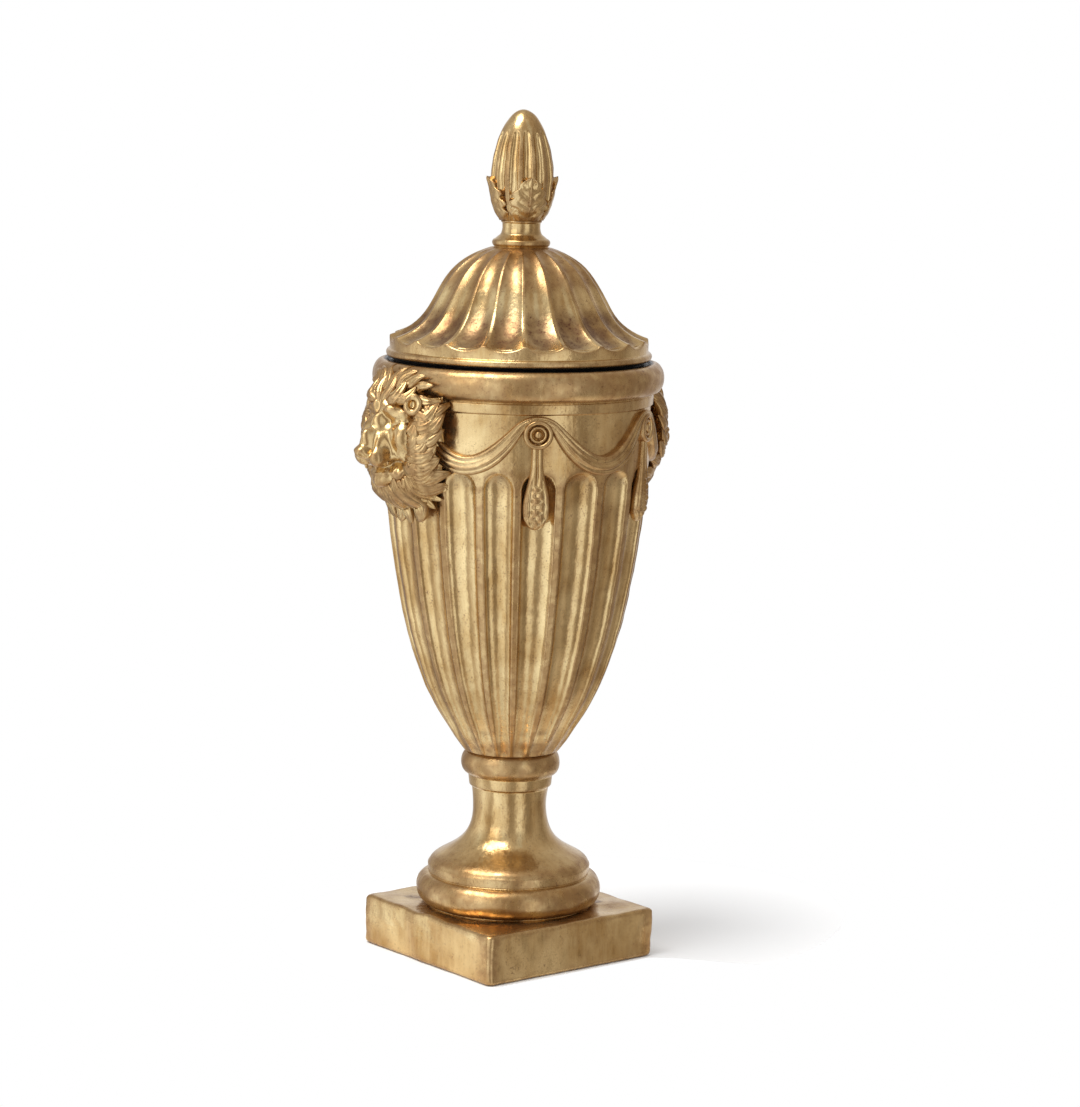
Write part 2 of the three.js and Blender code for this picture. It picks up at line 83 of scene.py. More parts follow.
camera = bpy.data.objects.new("camera", bpy.data.cameras.new("camera"))
bpy.context.scene.collection.objects.link(camera)
camera.data.lens = LENS_MM
camera.data.sensor_width = 36.0
place = (
    math.sin(CAMERA_AZIMUTH) * CAMERA_AWAY,
    -math.cos(CAMERA_AZIMUTH) * CAMERA_AWAY,
    CAMERA_HEIGHT,
)
camera.matrix_world = Matrix.Translation(place) @ Matrix(np.array(camera_axes()).T).to_4x4()
bpy.context.scene.camera = camera
print("camera at", [round(v, 3) for v in camera.matrix_world.translation])

# %% [markdown]
# ## Points on a grid
# Almost everything on this urn is a run of rings: a turned moulding, a lock of hair, a fold of
# cloth. So one helper turns such grids into a mesh. It works in millimetres, as a workshop drawing
# does, and it closes both ends of every run with a small fan of triangles.

# %% The mesh helper
def corners_of(grid):
    """Each face's four corners: a point, the one beside it, and the two above them."""
    beside = np.roll(grid, -1, 1)
    return grid, beside, np.roll(beside, -1, 0), np.roll(grid, -1, 0)


def holds_volume(grid, loop):
    """The signed volume inside a run of rings. It is negative when the rings run the wrong way."""
    grid = grid - grid.mean((0, 1))
    a, b, c, d = corners_of(grid)
    lids = np.cross(a[-1], b[-1]) @ grid[-1].mean(0) - np.cross(a[0], b[0]) @ grid[0].mean(0)
    side = (a * np.cross(b, c)).sum(-1) + (a * np.cross(c, d)).sum(-1)
    return side.sum() if loop else side[:-1].sum() + lids.sum()


def make_piece(name, grids, loop=False):
    """One mesh from one grid or several. A grid is an array of rings of points, in millimetres.
    Neighbouring rings are joined by four-sided faces, and end rings are closed by fans. The
    faces of a grid that would look inwards are turned round."""
    points, quads, fans = [], [], []
    first = 0
    for grid in grids:
        if holds_volume(grid, loop) < 0:
            grid = grid[:, ::-1]
        rows, columns = grid.shape[:2]
        number = first + np.arange(rows * columns).reshape(rows, columns)
        points.append(grid.reshape(-1, 3))
        faces = np.stack(corners_of(number), -1)
        quads.append((faces if loop else faces[:-1]).reshape(-1, 4))
        first += rows * columns
        if not loop:
            points.append(np.stack([grid[0].mean(0), grid[-1].mean(0)]))
            start, end = number[0], number[-1]
            middle = np.full(columns, first)
            fans.append(np.stack([middle, np.roll(start, -1), start], -1))
            fans.append(np.stack([middle + 1, end, np.roll(end, -1)], -1))
            first += 2
    points = np.concatenate(points) * MM
    quads = np.concatenate(quads)
    fans = np.concatenate(fans) if fans else np.empty((0, 3), int)
    corners = np.concatenate([quads.ravel(), fans.ravel()]).astype(np.int32)
    starts = np.concatenate([np.arange(len(quads)) * 4, len(quads) * 4 + np.arange(len(fans)) * 3])
    mesh = bpy.data.meshes.new(name)
    mesh.vertices.add(len(points))
    mesh.vertices.foreach_set("co", points.astype(np.float32).ravel())
    mesh.loops.add(len(corners))
    mesh.loops.foreach_set("vertex_index", corners)
    mesh.polygons.add(len(starts))
    mesh.polygons.foreach_set("loop_start", starts.astype(np.int32))
    mesh.update(calc_edges=True)
    mesh.validate()
    mesh.shade_smooth()
    made = bpy.data.objects.new(name, mesh)
    bpy.context.scene.collection.objects.link(made)
    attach(made, "root")
    print(name, "has", 2 * len(quads) + len(fans), "triangles")
    return made


# %% [markdown]
# ## Lines to turn
# A turner works from a profile: half of the outline, from one end to the other. Each profile here
# is a list of short stretches, which are straight, parts of ovals, or free curves.

# %% Curves


def arc(centre, size, start, stop, steps=16):
    """Points on an oval: centre plus size times the cosine and sine of angles in degrees."""
    angle = np.radians(np.linspace(start, stop, steps))
    return np.stack([centre[0] + size[0] * np.cos(angle), centre[1] + size[1] * np.sin(angle)], 1)


def bezier(a, b, c, d, steps=40):
    """A curve from a to d that leaves towards b and arrives from c, by the cubic weights."""
    t = np.linspace(0, 1, steps)[:, None]
    s = 1 - t
    a, b, c, d = (np.array(p, float) for p in (a, b, c, d))
    return s**3 * a + 3 * s * s * t * b + 3 * s * t * t * c + t**3 * d


def spline(points, steps=24):
    """A smooth curve through all the points: on each stretch, the four-point average that meets
    its neighbours in place and direction."""
    p = np.array(points, float)
    p = np.concatenate([[2 * p[0] - p[1]], p, [2 * p[-1] - p[-2]]])
    t = np.linspace(0, 1, steps, endpoint=False)[:, None]
    parts = [
        0.5 * (2 * b + (c - a) * t + (2 * a - 5 * b + 4 * c - d) * t**2
               + (3 * b - a - 3 * c + d) * t**3)
        for a, b, c, d in zip(p, p[1:], p[2:], p[3:])
    ]
    return np.concatenate(parts + [p[-2:-1]])


# %% [markdown]
# A profile is walked in fine steps and averaged over a small distance, so that no edge stays
# knife-sharp under the gold. Then it is thinned to rings that lie closer where it bends.

# %% Profiles


def walked(line, step=0.3):
    """The same line at equal steps along its length."""
    length = np.concatenate([[0], np.cumsum(np.hypot(*np.diff(line, axis=0).T))])
    at = np.linspace(0, length[-1], max(8, int(length[-1] / step)))
    return np.stack([np.interp(at, length, line[:, k]) for k in range(line.shape[1])], 1)


def softened(stretches, blur=0.45, step=0.3):
    """The stretches joined, each point averaged with those about blur millimetres around it."""
    line = walked(np.concatenate([np.atleast_2d(np.array(s, float)) for s in stretches]), step)
    reach = int(3 * blur / step)
    weight = np.exp(-0.5 * (np.arange(-reach, reach + 1) * step / blur) ** 2)
    padded = np.concatenate([np.repeat(line[:1], reach, 0), line, np.repeat(line[-1:], reach, 0)])
    return np.stack([np.convolve(padded[:, k], weight / weight.sum(), "valid") for k in (0, 1)], 1)


def thinned(line, count, longest=4.0, sharpest=0.14, extra=None):
    """count rings of the line, placed so that each takes an equal share of its length and bends.
    extra gives, by the place, how much more a millimetre counts there."""
    step = np.diff(line, axis=0)
    length = np.hypot(*step.T)
    heading = np.unwrap(np.arctan2(step[:, 1], step[:, 0]))
    bend = np.abs(np.diff(heading, append=heading[-1]))
    need = length / longest + bend / sharpest
    if extra is not None:
        need = need + length * extra(line[:-1])
    need = np.concatenate([[0], np.cumsum(need)])
    at = np.linspace(0, need[-1], count)
    return np.stack([np.interp(at, need, line[:, k]) for k in (0, 1)], 1)


# %% [markdown]
# A lathe turns the profile round the axis. What a carver takes off is a depth under the turned
# surface. A cast part is then cleaned up by hand, so nothing on it is quite true.

# %% Turning and finishing


def outwards(line):
    """The direction square to the line at each point, on its outer side."""
    step = np.gradient(line, axis=0)
    normal = np.stack([step[:, 1], -step[:, 0]], 1)
    return normal / np.linalg.norm(normal, axis=1)[:, None]


def turned(line, angle, sink=0.0):
    """The line turned round the axis, at angles that are given or at that many even ones. sink is
    how deep each point lies under the turned surface: radius and height lose sink times the
    line's outward direction."""
    if np.isscalar(angle):
        angle = np.arange(angle) * TURN / angle
    normal = outwards(line)
    radius = line[:, :1] - sink * normal[:, :1]
    height = line[:, 1:] - sink * normal[:, 1:] + 0 * angle
    return np.stack([radius * np.sin(angle), -radius * np.cos(angle), height], -1)


def waver(points, size, seed, waves=10):
    """A slow unevenness of about plus or minus 1: sines of chance directions and lengths near
    size millimetres, added up."""
    chance = np.random.default_rng(seed)
    total = np.zeros(points.shape[:-1])
    for _ in range(waves):
        direction = chance.normal(size=3)
        direction *= TURN / (size * chance.uniform(0.6, 1.6) * np.linalg.norm(direction))
        total += np.sin(points @ direction + chance.uniform(0, TURN))
    return total / math.sqrt(waves)


def hand_finished(grid, seed, size=22.0, height=0.22):
    """The grid with each point moved out from the axis, or in, by the slow unevenness of a mould
    that was cleaned up by hand. Nearer the axis than 6 mm it fades out."""
    away = np.linalg.norm(grid[..., :2], axis=-1)
    outward = grid[..., :2] / np.maximum(away, 1e-6)[..., None]
    fade = np.clip(away / 6.0, 0, 1)
    moved = grid.copy()
    moved[..., :2] += outward * (waver(grid, size, seed) * height * fade)[..., None]
    return moved


# %% [markdown]
# ## Sizes
# The heights add up from the underside, as the mouldings do on the real urn. The tops of urn and
# lid and the lower end of the lid's spigot come from the frame, so a changed frame is noticed here
# first.

# %% Heights and radii, in millimetres
PLINTH_TOP = 29.7
FOOT_BAND = 48.2
STEM_BOTTOM = 54.4
COLLAR_BOTTOM = 101.0
COLLAR_TORUS = 107.5
BOWL_BOTTOM = 123.0
BAND_BOTTOM = 330.4
RIM_BOTTOM = 336.7
RIM_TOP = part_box("urn_body")[1].z / MM
SEAT_DEPTH = 1.2
SEAT = RIM_TOP - SEAT_DEPTH
SPIGOT_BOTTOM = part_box("lid")[0].z / MM
SHADOW_GAP = 1.5
FLANGE_TALL = 5.0
SKIRT_TALL = 7.4
DOME_TALL = 51.5
FLANGE_BOTTOM = RIM_TOP + SHADOW_GAP
SKIRT_BOTTOM = FLANGE_BOTTOM + FLANGE_TALL
DOME_BOTTOM = SKIRT_BOTTOM + SKIRT_TALL
FINIAL_BOTTOM = DOME_BOTTOM + DOME_TALL
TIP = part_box("lid")[1].z / MM
PLINTH_SIDE = 124.0
BOWL_RADIUS = 78.0
RIM_RADIUS = 85.4
SEAT_RADIUS = 76.0
MOUTH_RADIUS = 67.5
SKIRT_RADIUS = 75.8
WALL = 8.0
print("rim at", round(RIM_TOP, 2), "mm, tip at", round(TIP, 2), "mm")

# %% [markdown]
# ## The plinth
# A cast slab with rounded corners. On the real one its faces were rubbed down by hand, so they are
# not quite flat and its edges wander a little. Its outline is a rounded square, carried up a
# profile that steps in at both edges. The underside stays flat, because it is what the urn rests on.

# %% The plinth


def rounded_square(half, corner, columns):
    """Points round a square with quarter-circle corners, at equal steps along its perimeter."""
    straight = 2 * (half - corner)
    side = straight + corner * math.pi / 2
    along = np.arange(columns) / columns * 4 * side + straight / 2
    quarter = np.floor(along / side)
    rest = along - quarter * side
    on_side = rest < straight
    bend = np.where(on_side, 0, (rest - straight) / corner)
    x = np.where(on_side, rest - straight / 2, straight / 2 + corner * np.sin(bend))
    y = np.where(on_side, -half, -half + corner * (1 - np.cos(bend)))
    spin = quarter * TURN / 4
    return np.stack([x * np.cos(spin) - y * np.sin(spin), x * np.sin(spin) + y * np.cos(spin)], -1)


def plinth_grid():
    """Rings of rounded squares. Each is inset by the profile's first number and lifted to its
    second, then moved in and out by the slow unevenness, less so towards the underside. It
    wanders about a line a fifth of a millimetre inside the frame."""
    edge, corner = 2.6, 3.4
    run = softened(
        [[[60, 0], [edge, 0]], arc((edge, edge), (edge, edge), 270, 180),
         [[0, edge], [0, PLINTH_TOP - edge]],
         arc((edge, PLINTH_TOP - edge), (edge, edge), 180, 90), [[20, PLINTH_TOP]]],
        blur=0.5,
    )
    run = thinned(run, 66, longest=3.0)
    rings = []
    for inset, height in run:
        half = PLINTH_SIDE / 2 - inset
        ring = rounded_square(half, max(0.6, corner - 0.06 * inset), 340)
        rings.append(np.column_stack([ring, np.full(len(ring), height)]))
    grid = np.stack(rings)
    out = grid[..., :2] / np.abs(grid[..., :2]).max(-1, keepdims=True)
    lifted = np.clip(grid[..., 2] / 6.0, 0, 1)
    uneven = waver(grid, 34, 3) * 0.42 + waver(grid, 11, 4) * 0.14 - 0.2
    grid[..., :2] += out * (uneven * (0.35 + 0.65 * lifted))[..., None]
    top = np.clip((grid[..., 2] - PLINTH_TOP + 3) / 3, 0, 1)
    grid[..., 2] += top * (waver(grid, 26, 5) * 0.22 - 0.25)
    grid[..., 2] = np.maximum(grid[..., 2], 0)
    return grid


plinth = make_piece("plinth", [plinth_grid()])

# %% [markdown]
# ## Foot and stem
# A round foot with a fat torus, an upright band, a stem that flares like a trumpet, and a collar
# of a band and a smaller torus. All of it is one profile turned round the axis.

# %% The foot and stem
foot_line = softened([
    [[40, PLINTH_TOP - 2], [49.5, PLINTH_TOP - 0.5]],
    arc((47.4, 38.95), (7.7, 9.2), -82, 88, 40),
    [[48.1, FOOT_BAND + 0.3], [48.2, STEM_BOTTOM - 0.8], [47.4, STEM_BOTTOM]],
    bezier((47.2, STEM_BOTTOM + 0.6), (43.4, 63.3), (15.4, 62.5), (23.0, COLLAR_BOTTOM - 0.4), 60),
    [[24.4, COLLAR_BOTTOM + 0.3], [24.9, COLLAR_TORUS - 1.2], [25.0, COLLAR_TORUS]],
    arc((23.6, 115.4), (5.9, 7.8), -78, 90, 40),
    [[22, 124.5]],
])
foot = make_piece("foot", [hand_finished(turned(thinned(foot_line, 160), 176), seed=11)])

# %% [markdown]
# ## The fluted bowl
# Twenty hollow flutes run up the bowl, with narrow lands between them and arched tops. A carver
# would scoop each one with a gouge, so its cross-section is a shallow round hollow, and its top is
# the quarter of a ball. The wall is a turned profile, and the flutes are a depth taken off it.
# Inside it is plain, with a seat and a mouth that the lid's spigot drops into.

# %% The vessel
FLUTES = 20
FRIEZE_TALL = 33.4
FLUTE_TOP = BAND_BOTTOM - FRIEZE_TALL
LAND_SHARE = 0.20
ARCH_HEIGHT = math.pi * BOWL_RADIUS * (1 - LAND_SHARE) / FLUTES
FLUTE_DEPTH_SHARE = 0.19
TASSEL_NUDGE = 2.8
INSIDE_FLOOR = 141.0
FLOOR_EDGE = 147.0

bowl_line = spline([
    [28.7, BOWL_BOTTOM], [37.6, 136.1], [51.2, 159.9], [62.5, 192.1], [69.4, 224.2],
    [74.3, 256.4], [77.8, 297.2], [BOWL_RADIUS, BAND_BOTTOM],
])
rim_line = np.concatenate([
    [[BOWL_RADIUS, BAND_BOTTOM - 0.3], [79.2, BAND_BOTTOM + 0.2], [79.4, RIM_BOTTOM - 0.5],
     [78.7, RIM_BOTTOM]],
    bezier((79.0, RIM_BOTTOM + 0.4), (84.2, 337.6), (85.6, 342.2), (RIM_RADIUS, 346.2)),
    bezier((RIM_RADIUS, 346.6), (85.0, 351.2), (82.4, RIM_TOP), (79.6, RIM_TOP)),
    [[77.0, RIM_TOP], [SEAT_RADIUS, SEAT], [MOUTH_RADIUS, SEAT], [MOUTH_RADIUS, SEAT - 9.0]],
])
inside_line = bowl_line[bowl_line[:, 1] > FLOOR_EDGE][::-1] - [WALL, 0]
floor_line = bezier(inside_line[-1], (30, 143), (14, INSIDE_FLOOR), (0.5, INSIDE_FLOOR))


def land_angles():
    """Degrees from the front to each land. Those beside a tassel stand a little aside, by a bell
    curve round 28 degrees, so that the tassel hangs in the middle of a flute."""
    even = np.arange(FLUTES // 4 + 1) * 360 / FLUTES
    moved = even + TASSEL_NUDGE * np.exp(-(((even - 28) / 14) ** 2))
    moved[0] = 0
    moved[-1] = 90
    half = np.concatenate([moved, 180 - moved[-2::-1]])
    return np.concatenate([half, 360 - half[-2:0:-1], [360]])


def flute_depth(across, arch, pitch, land=LAND_SHARE, round_share=0.62):
    """The scooped depth: the pitch times a share, times one less the squared distance from the
    flute's middle, to a power: 0.5 gives an oval hollow and 1 a shallower one. arch runs from 0 to
    1 where the flute ends in a quarter ball."""
    far = (across / (1 - land)) ** 2 + arch**2
    return pitch * FLUTE_DEPTH_SHARE * np.clip(1 - far, 0, None) ** round_share


def flute_columns(lands, half):
    """Angles for the columns of a fluted grid, and where each lies across its flute. half lists
    the places from a flute's middle to its edge, and they crowd where its side is steep."""
    half = np.array(half)
    across = np.concatenate([[-1.0], -half[::-1], half[1:]])
    lands = np.asarray(lands, float)
    angle = lands[:-1, None] + (across + 1) / 2 * np.diff(lands)[:, None]
    return np.radians(angle.ravel()), np.tile(across, len(lands) - 1)[None, :]


def vessel_grid():
    """The outside turned with its flutes, then over the rim and down the plain inside. The rings
    lie closer on the outside where the flutes end in their arches."""

    def near_arch(p):
        """A millimetre counts 0.9 more, by radius and height, where a flute ends."""
        return np.where((p[:, 0] > 73.5) & (np.abs(p[:, 1] - FLUTE_TOP + 5) < 9), 0.9, 0)

    line = softened([[[20, BOWL_BOTTOM - 2]], bowl_line, rim_line, inside_line, floor_line])
    line = thinned(line, 204, longest=5.5, sharpest=0.16, extra=near_arch)
    outside = np.arange(len(line)) <= np.argmax(line[:, 0])
    half = [0, 0.16, 0.31, 0.45, 0.57, 0.67, 0.74, 0.785, 0.815, 0.9]
    angle, across = flute_columns(land_angles(), half)
    height = line[:, 1:]
    arch = np.clip((height - FLUTE_TOP + ARCH_HEIGHT) / ARCH_HEIGHT, 0, 1)
    fade = np.clip((height - BOWL_BOTTOM) / 14, 0.55, 1) * np.clip((height - BOWL_BOTTOM) / 2, 0, 1)
    pitch = TURN * line[:, :1] / FLUTES
    sink = flute_depth(across, arch, pitch) * fade * outside[:, None]
    return hand_finished(turned(line, angle, sink), seed=21, size=17, height=0.13)


vessel = make_piece("vessel", [vessel_grid()])

# %% [markdown]
# ## The lions' heads
# On each side a lion looks out, its mouth half open. The head is modelled as a sculptor builds
# one in clay: round lumps for skull, cheeks, brows and muzzle are pressed together, and then the
# mouth, the eye sockets and the nostrils are scooped out. Each lump is an oval with a distance to
# its skin, and neighbours are blended where they meet. One side is enough, because the other is
# its mirror.

# %% The lumps of a head
NOSE_HEIGHT = 306.0
HEAD_CENTRE = np.array([0.0, 8.0, 75.0])
# What is done, then the oval's middle (to the side, above the nose, out from the axis), its three
# half sizes, and how softly it blends.
LUMPS = [
    ("add", (0, 3, 74), (26, 33, 13), 1),
    ("add", (0, 10, 82), (21, 26, 19.5), 3),
    ("add", (0, 29, 88), (15, 10, 12), 4),
    ("add", (0, 3, 97.5), (11, 12.5, 13.5), 4),
    ("add", (6.8, 25.0, 96.8), (6.2, 3.6, 5.2), 2.5),
    ("add", (13.2, 23.4, 92.4), (5.0, 3.2, 5.0), 2.5),
    ("add", (0, 22.0, 96.2), (4.8, 7.0, 5.2), 3),
    ("add", (0, 14.5, 100.6), (4.4, 9.0, 5.2), 2.5),
    ("add", (0, 6.5, 108.0), (4.2, 8.0, 5.0), 2.5),
    ("add", (0, 0.9, 111.8), (4.9, 4.0, 5.2), 1.6),
    ("add", (14.2, 9.5, 93.5), (6.6, 8.0, 7.2), 4),
    ("add", (13.0, 13.2, 93.6), (4.4, 2.8, 4.0), 3),
    ("add", (13.6, -1.5, 84.6), (7.6, 11.5, 9.0), 6),
    ("add", (6.3, -1.8, 103.4), (6.0, 6.3, 8.6), 2),
    ("add", (0, -14.8, 95.0), (8.6, 4.7, 8.0), 3),
    ("add", (10.0, -12.5, 90.5), (4.8, 4.6, 7.4), 3),
    ("cut", (0, -9.2, 103.0), (9.0, 1.5, 13.0), 0.8),
    ("cut", (10.4, -6.6, 96.8), (4.2, 2.7, 8.0), 1.6),
    ("add", (0, -11.9, 101.4), (4.2, 1.4, 2.6), 1.2),
    ("add", (5.0, -11.7, 99.9), (3.2, 1.3, 2.7), 1.2),
    ("add", (9.4, -10.6, 96.3), (2.8, 1.3, 3.2), 1.2),
    ("add", (13.2, -9.2, 90.4), (2.4, 1.5, 3.4), 2.5),
    ("add", (0, -17.2, 98.8), (4.6, 3.0, 3.8), 2.5),
    ("add", (0, -10.0, 93.0), (5.0, 1.6, 6.0), 0.8),
    ("cut", (5.2, 6.6, 109.6), (1.0, 7.6, 3.0), 2.0),
    ("cut", (3.3, -0.4, 115.8), (1.4, 1.0, 2.0), 0.8),
    ("cut", (0, -5.6, 113.6), (0.5, 3.6, 3.0), 0.9),
    ("cut", (11.4, 1.2, 102.6), (0.9, 6.0, 2.4), 3.0),
    ("cut", (9.9, 18.7, 101.0), (4.7, 3.3, 5.2), 2.0),
    ("add", (9.6, 18.4, 95.0), (3.2, 2.8, 3.1), 0.5),
    ("cut", (9.4, 18.4, 98.3), (0.9, 0.9, 0.9), 0.4),
    ("add", (9.4, 21.2, 96.6), (4.6, 1.2, 2.8), 1.1),
    ("add", (9.8, 15.5, 95.8), (4.2, 1.0, 2.4), 1.1),
    ("add", (3.4, 26.6, 98.4), (2.8, 4.2, 4.0), 1.5),
    ("cut", (0, 28.5, 102.2), (1.0, 5.5, 3.0), 2.0),
    ("cut", (4.4, 22.4, 102.6), (0.6, 2.6, 2.6), 1.2),
]


def skin_distance(points):
    """How far a point is outside the head, by its lumps one after another. An oval's distance is
    k (k - 1) / g, where k is the point's distance in oval sizes, and g how fast k grows."""
    p = np.stack([np.abs(points[..., 0]), points[..., 1], points[..., 2]], -1)
    total = np.full(p.shape[:-1], 60.0)
    for deed, middle, size, blend in LUMPS:
        off = p - np.array(middle, float)
        near = np.linalg.norm(off / np.array(size, float), axis=-1)
        steep = np.linalg.norm(off / np.array(size, float) ** 2, axis=-1)
        apart = near * (near - 1) / np.maximum(steep, 1e-6)
        if deed == "add":
            ease = np.maximum(blend - np.abs(total - apart), 0) ** 2 / (4 * blend)
            total = np.minimum(total, apart) - ease
        else:
            ease = np.maximum(blend - np.abs(total + apart), 0) ** 2 / (4 * blend)
            total = np.maximum(total, -apart) + ease
    return total


inside_head = float(-skin_distance(HEAD_CENTRE))
print("the middle of the head lies", round(inside_head, 1), "mm under its skin")

# %% [markdown]
# The lumps only say how far a point is from the skin. A mesh needs the skin itself, and it is
# found along rays from a point inside the head.

# %% The head's skin


def head_grid(rows=150, columns=204, reach=48.0, step=0.9):
    """Rings of ever wider rays about the direction the lion looks in. Each ray is walked inwards
    from its reach until it meets the skin, and the meeting point is then closed in on by halving.
    A last averaging with the neighbours rounds the cut edges, as leaf and clay do. Towards the
    mane the fur is lightly combed."""
    wide = np.radians(0.25 + 112 * np.linspace(0, 1, rows) ** 1.08)[:, None]
    around = (np.arange(columns) * TURN / columns)[None, :]
    ray = np.stack(
        [np.sin(wide) * np.cos(around), np.sin(wide) * np.sin(around), np.cos(wide) + 0 * around], -1
    )
    outer = np.full(ray.shape[:2], reach)
    found = np.zeros(ray.shape[:2], bool)
    for length in np.arange(reach, 6.0, -step):
        inside = skin_distance(HEAD_CENTRE + ray * length) < 0
        outer = np.where(inside & ~found, length + step, outer)
        found |= inside
    outer = np.where(found, outer, 8.0)
    inner = outer - step
    for _ in range(7):
        middle = (outer + inner) / 2
        inside = skin_distance(HEAD_CENTRE + ray * middle[..., None]) < 0
        inner = np.where(inside, middle, inner)
        outer = np.where(inside, outer, middle)
    for _ in range(4):
        outer = 0.5 * outer + 0.25 * (np.roll(outer, 1, 1) + np.roll(outer, -1, 1))
        outer[1:-1] = 0.5 * outer[1:-1] + 0.25 * (outer[:-2] + outer[2:])
    combed = np.sin(around * 40 + 2.2 * np.sin(wide * 9)) * np.clip((wide - 0.62) / 0.2, 0, 1)
    return HEAD_CENTRE + ray * (outer + 0.12 * combed)[..., None]


def mask_to_urn(points, side):
    """From the mask's own measures (to the side, above the nose, out) to the urn's: a quarter turn
    to the left or right. A slow unevenness makes the two halves of the face a little unlike, and
    0.15 mm less reach keeps it inside the frame."""
    uneven = 0.25 * waver(points, 9.0, 31)
    out = points[..., 2] + uneven - 0.15
    return np.stack([side * out, side * points[..., 0], NOSE_HEIGHT + points[..., 1]], -1)


head = head_grid()
print("the lion's head reaches", round(head[..., 2].max(), 1), "mm from the axis")

# %% [markdown]
# ## The lions' manes
# A mane is eighty locks in layers, each lock a tapered rope with combed grooves. They start at
# the edge of the face and end in points. At the sides they sag and flick up, on top they rise like
# flames over the rim, and below they hang. All follow one swelling form, so that the mane has a
# clear mass, as it would have had in the sculptor's clay.

# %% The mane's form
MANE_MIDDLE = 6.0
MANE_SIDE = 35.5
MANE_ABOVE = 41.0
MANE_BELOW = 37.0
BALL_FOOT = 74.0
BALL_TALL = 26.5
OVER_URN = 3.2
SOFT_CHANGE = 4.0
outer_line = thinned(softened([bowl_line, rim_line[:-3]]), 200)


def mane_reach(side, up):
    """How far out the mane's form stands: a flattened ball over the mask, or else 3.2 mm over the
    urn behind it, whichever is more, with a soft change between them."""
    high = np.where(up < MANE_MIDDLE, MANE_BELOW, MANE_ABOVE)
    far = np.hypot(side / MANE_SIDE, (up - MANE_MIDDLE) / high)
    ball = BALL_FOOT + BALL_TALL * np.sqrt(np.clip(1 - (0.97 * far) ** 2, 0.0, 1))
    urn = np.interp(NOSE_HEIGHT + up, outer_line[:, 1], outer_line[:, 0])
    behind = np.sqrt(np.maximum(urn**2 - side**2, 0)) + OVER_URN
    ease = np.maximum(SOFT_CHANGE - np.abs(ball - behind), 0) ** 2 / (4 * SOFT_CHANGE)
    return np.maximum(ball, behind) + ease


def rope(path, outward, half_width, half_height, strands, columns=34):
    """A lock along a path. Its section is an oval whose upper half has combed ridges, which follow
    the size of a cosine across it. Its two half sizes change along the path."""
    along = np.gradient(path, axis=0)
    along /= np.linalg.norm(along, axis=1)[:, None]
    across = np.cross(along, outward)
    across /= np.linalg.norm(across, axis=1)[:, None]
    up = np.cross(across, along)
    angle = np.arange(columns) * TURN / columns
    x, y = np.cos(angle), np.sin(angle)
    ridges = np.where(y > 0, 0.62 + 0.46 * np.abs(np.cos(strands * math.pi / 2 * x)) ** 0.8, 1.0)
    return (path[:, None] + across[:, None] * (half_width[:, None] * x)[..., None]
            + up[:, None] * (half_height[:, None] * y * ridges)[..., None])


def lock(root, tip, sag, flick, width, lift, strands, blunt):
    """A lock from root to tip on the mane's form. It bends to its right by sag, and by flick more
    sharply near its end, and it starts and ends lift millimetres over the form. The more blunt it
    is, the nearer to its tip it starts to taper."""
    t = np.linspace(0, 1, 21)[:, None]
    root, tip = np.array(root, float), np.array(tip, float)
    chord = tip - root
    right = np.array([chord[1], -chord[0]]) / np.hypot(*chord)
    wave = np.sin(TURN * 1.3 * t + 9 * width) * 0.05 * width
    flat = root + chord * t + right * (sag * np.sin(math.pi * t) + flick * 1.5 * (t - t**3) + wave)
    swell = np.sin(math.pi * np.clip(t[:, 0] * 0.9 + 0.1, 0, 1)) * 1.2
    reach = mane_reach(flat[:, 0], flat[:, 1]) + lift[0] + (lift[1] - lift[0]) * t[:, 0] + swell
    path = np.column_stack([flat, reach])
    outward = np.column_stack(
        [flat[:, 0] * 0.020, (flat[:, 1] - MANE_MIDDLE) * 0.016, np.ones(len(flat))]
    )
    taper = np.clip(1 - t[:, 0] ** blunt, 0.0, 1) ** 0.75 * np.clip(0.3 + 2.4 * t[:, 0], 0, 1)
    taper = np.maximum(taper, 0.05)
    return rope(path, outward, width / 2 * taper, width * 0.34 * taper, strands)


print("over the nose the mane's form would stand", round(float(mane_reach(0.0, 0.0)), 1), "mm out")

# %% [markdown]
# The locks of the flanks are set out in three rows by chance, because there are many and they are
# alike. Those of the crown and the beard are set one by one, because their places make the face.

# %% The locks


def side_locks(count, seed, root_side, tip_side, high, low, lift, width):
    """A row of locks on the flank of the mane, one under another, from high to low: the heights
    of roots and tips. Each sags and flicks up, and chance moves and stretches it a little."""
    chance = np.random.default_rng(seed)
    made = []
    for share in np.linspace(0, 1, count):
        start = high[0] + (low[0] - high[0]) * share + chance.normal() * 0.5
        end = high[1] + (low[1] - high[1]) * share + chance.normal() * 0.9
        bow = math.sin(math.pi * (0.15 + 0.75 * share))
        root = (root_side + 2.0 * bow - 1.0 + chance.uniform(-1.5, 1.5), start)
        tip = (tip_side + 3.0 * bow - 3.0 + chance.uniform(-2.2, 1.2), end)
        made.append(lock(root, tip, 3.2 * chance.uniform(0.7, 1.3), 5.0 * chance.uniform(0.7, 1.3),
                         width * chance.uniform(0.8, 1.2), lift, chance.choice([4, 5]), 4.2))
    return made


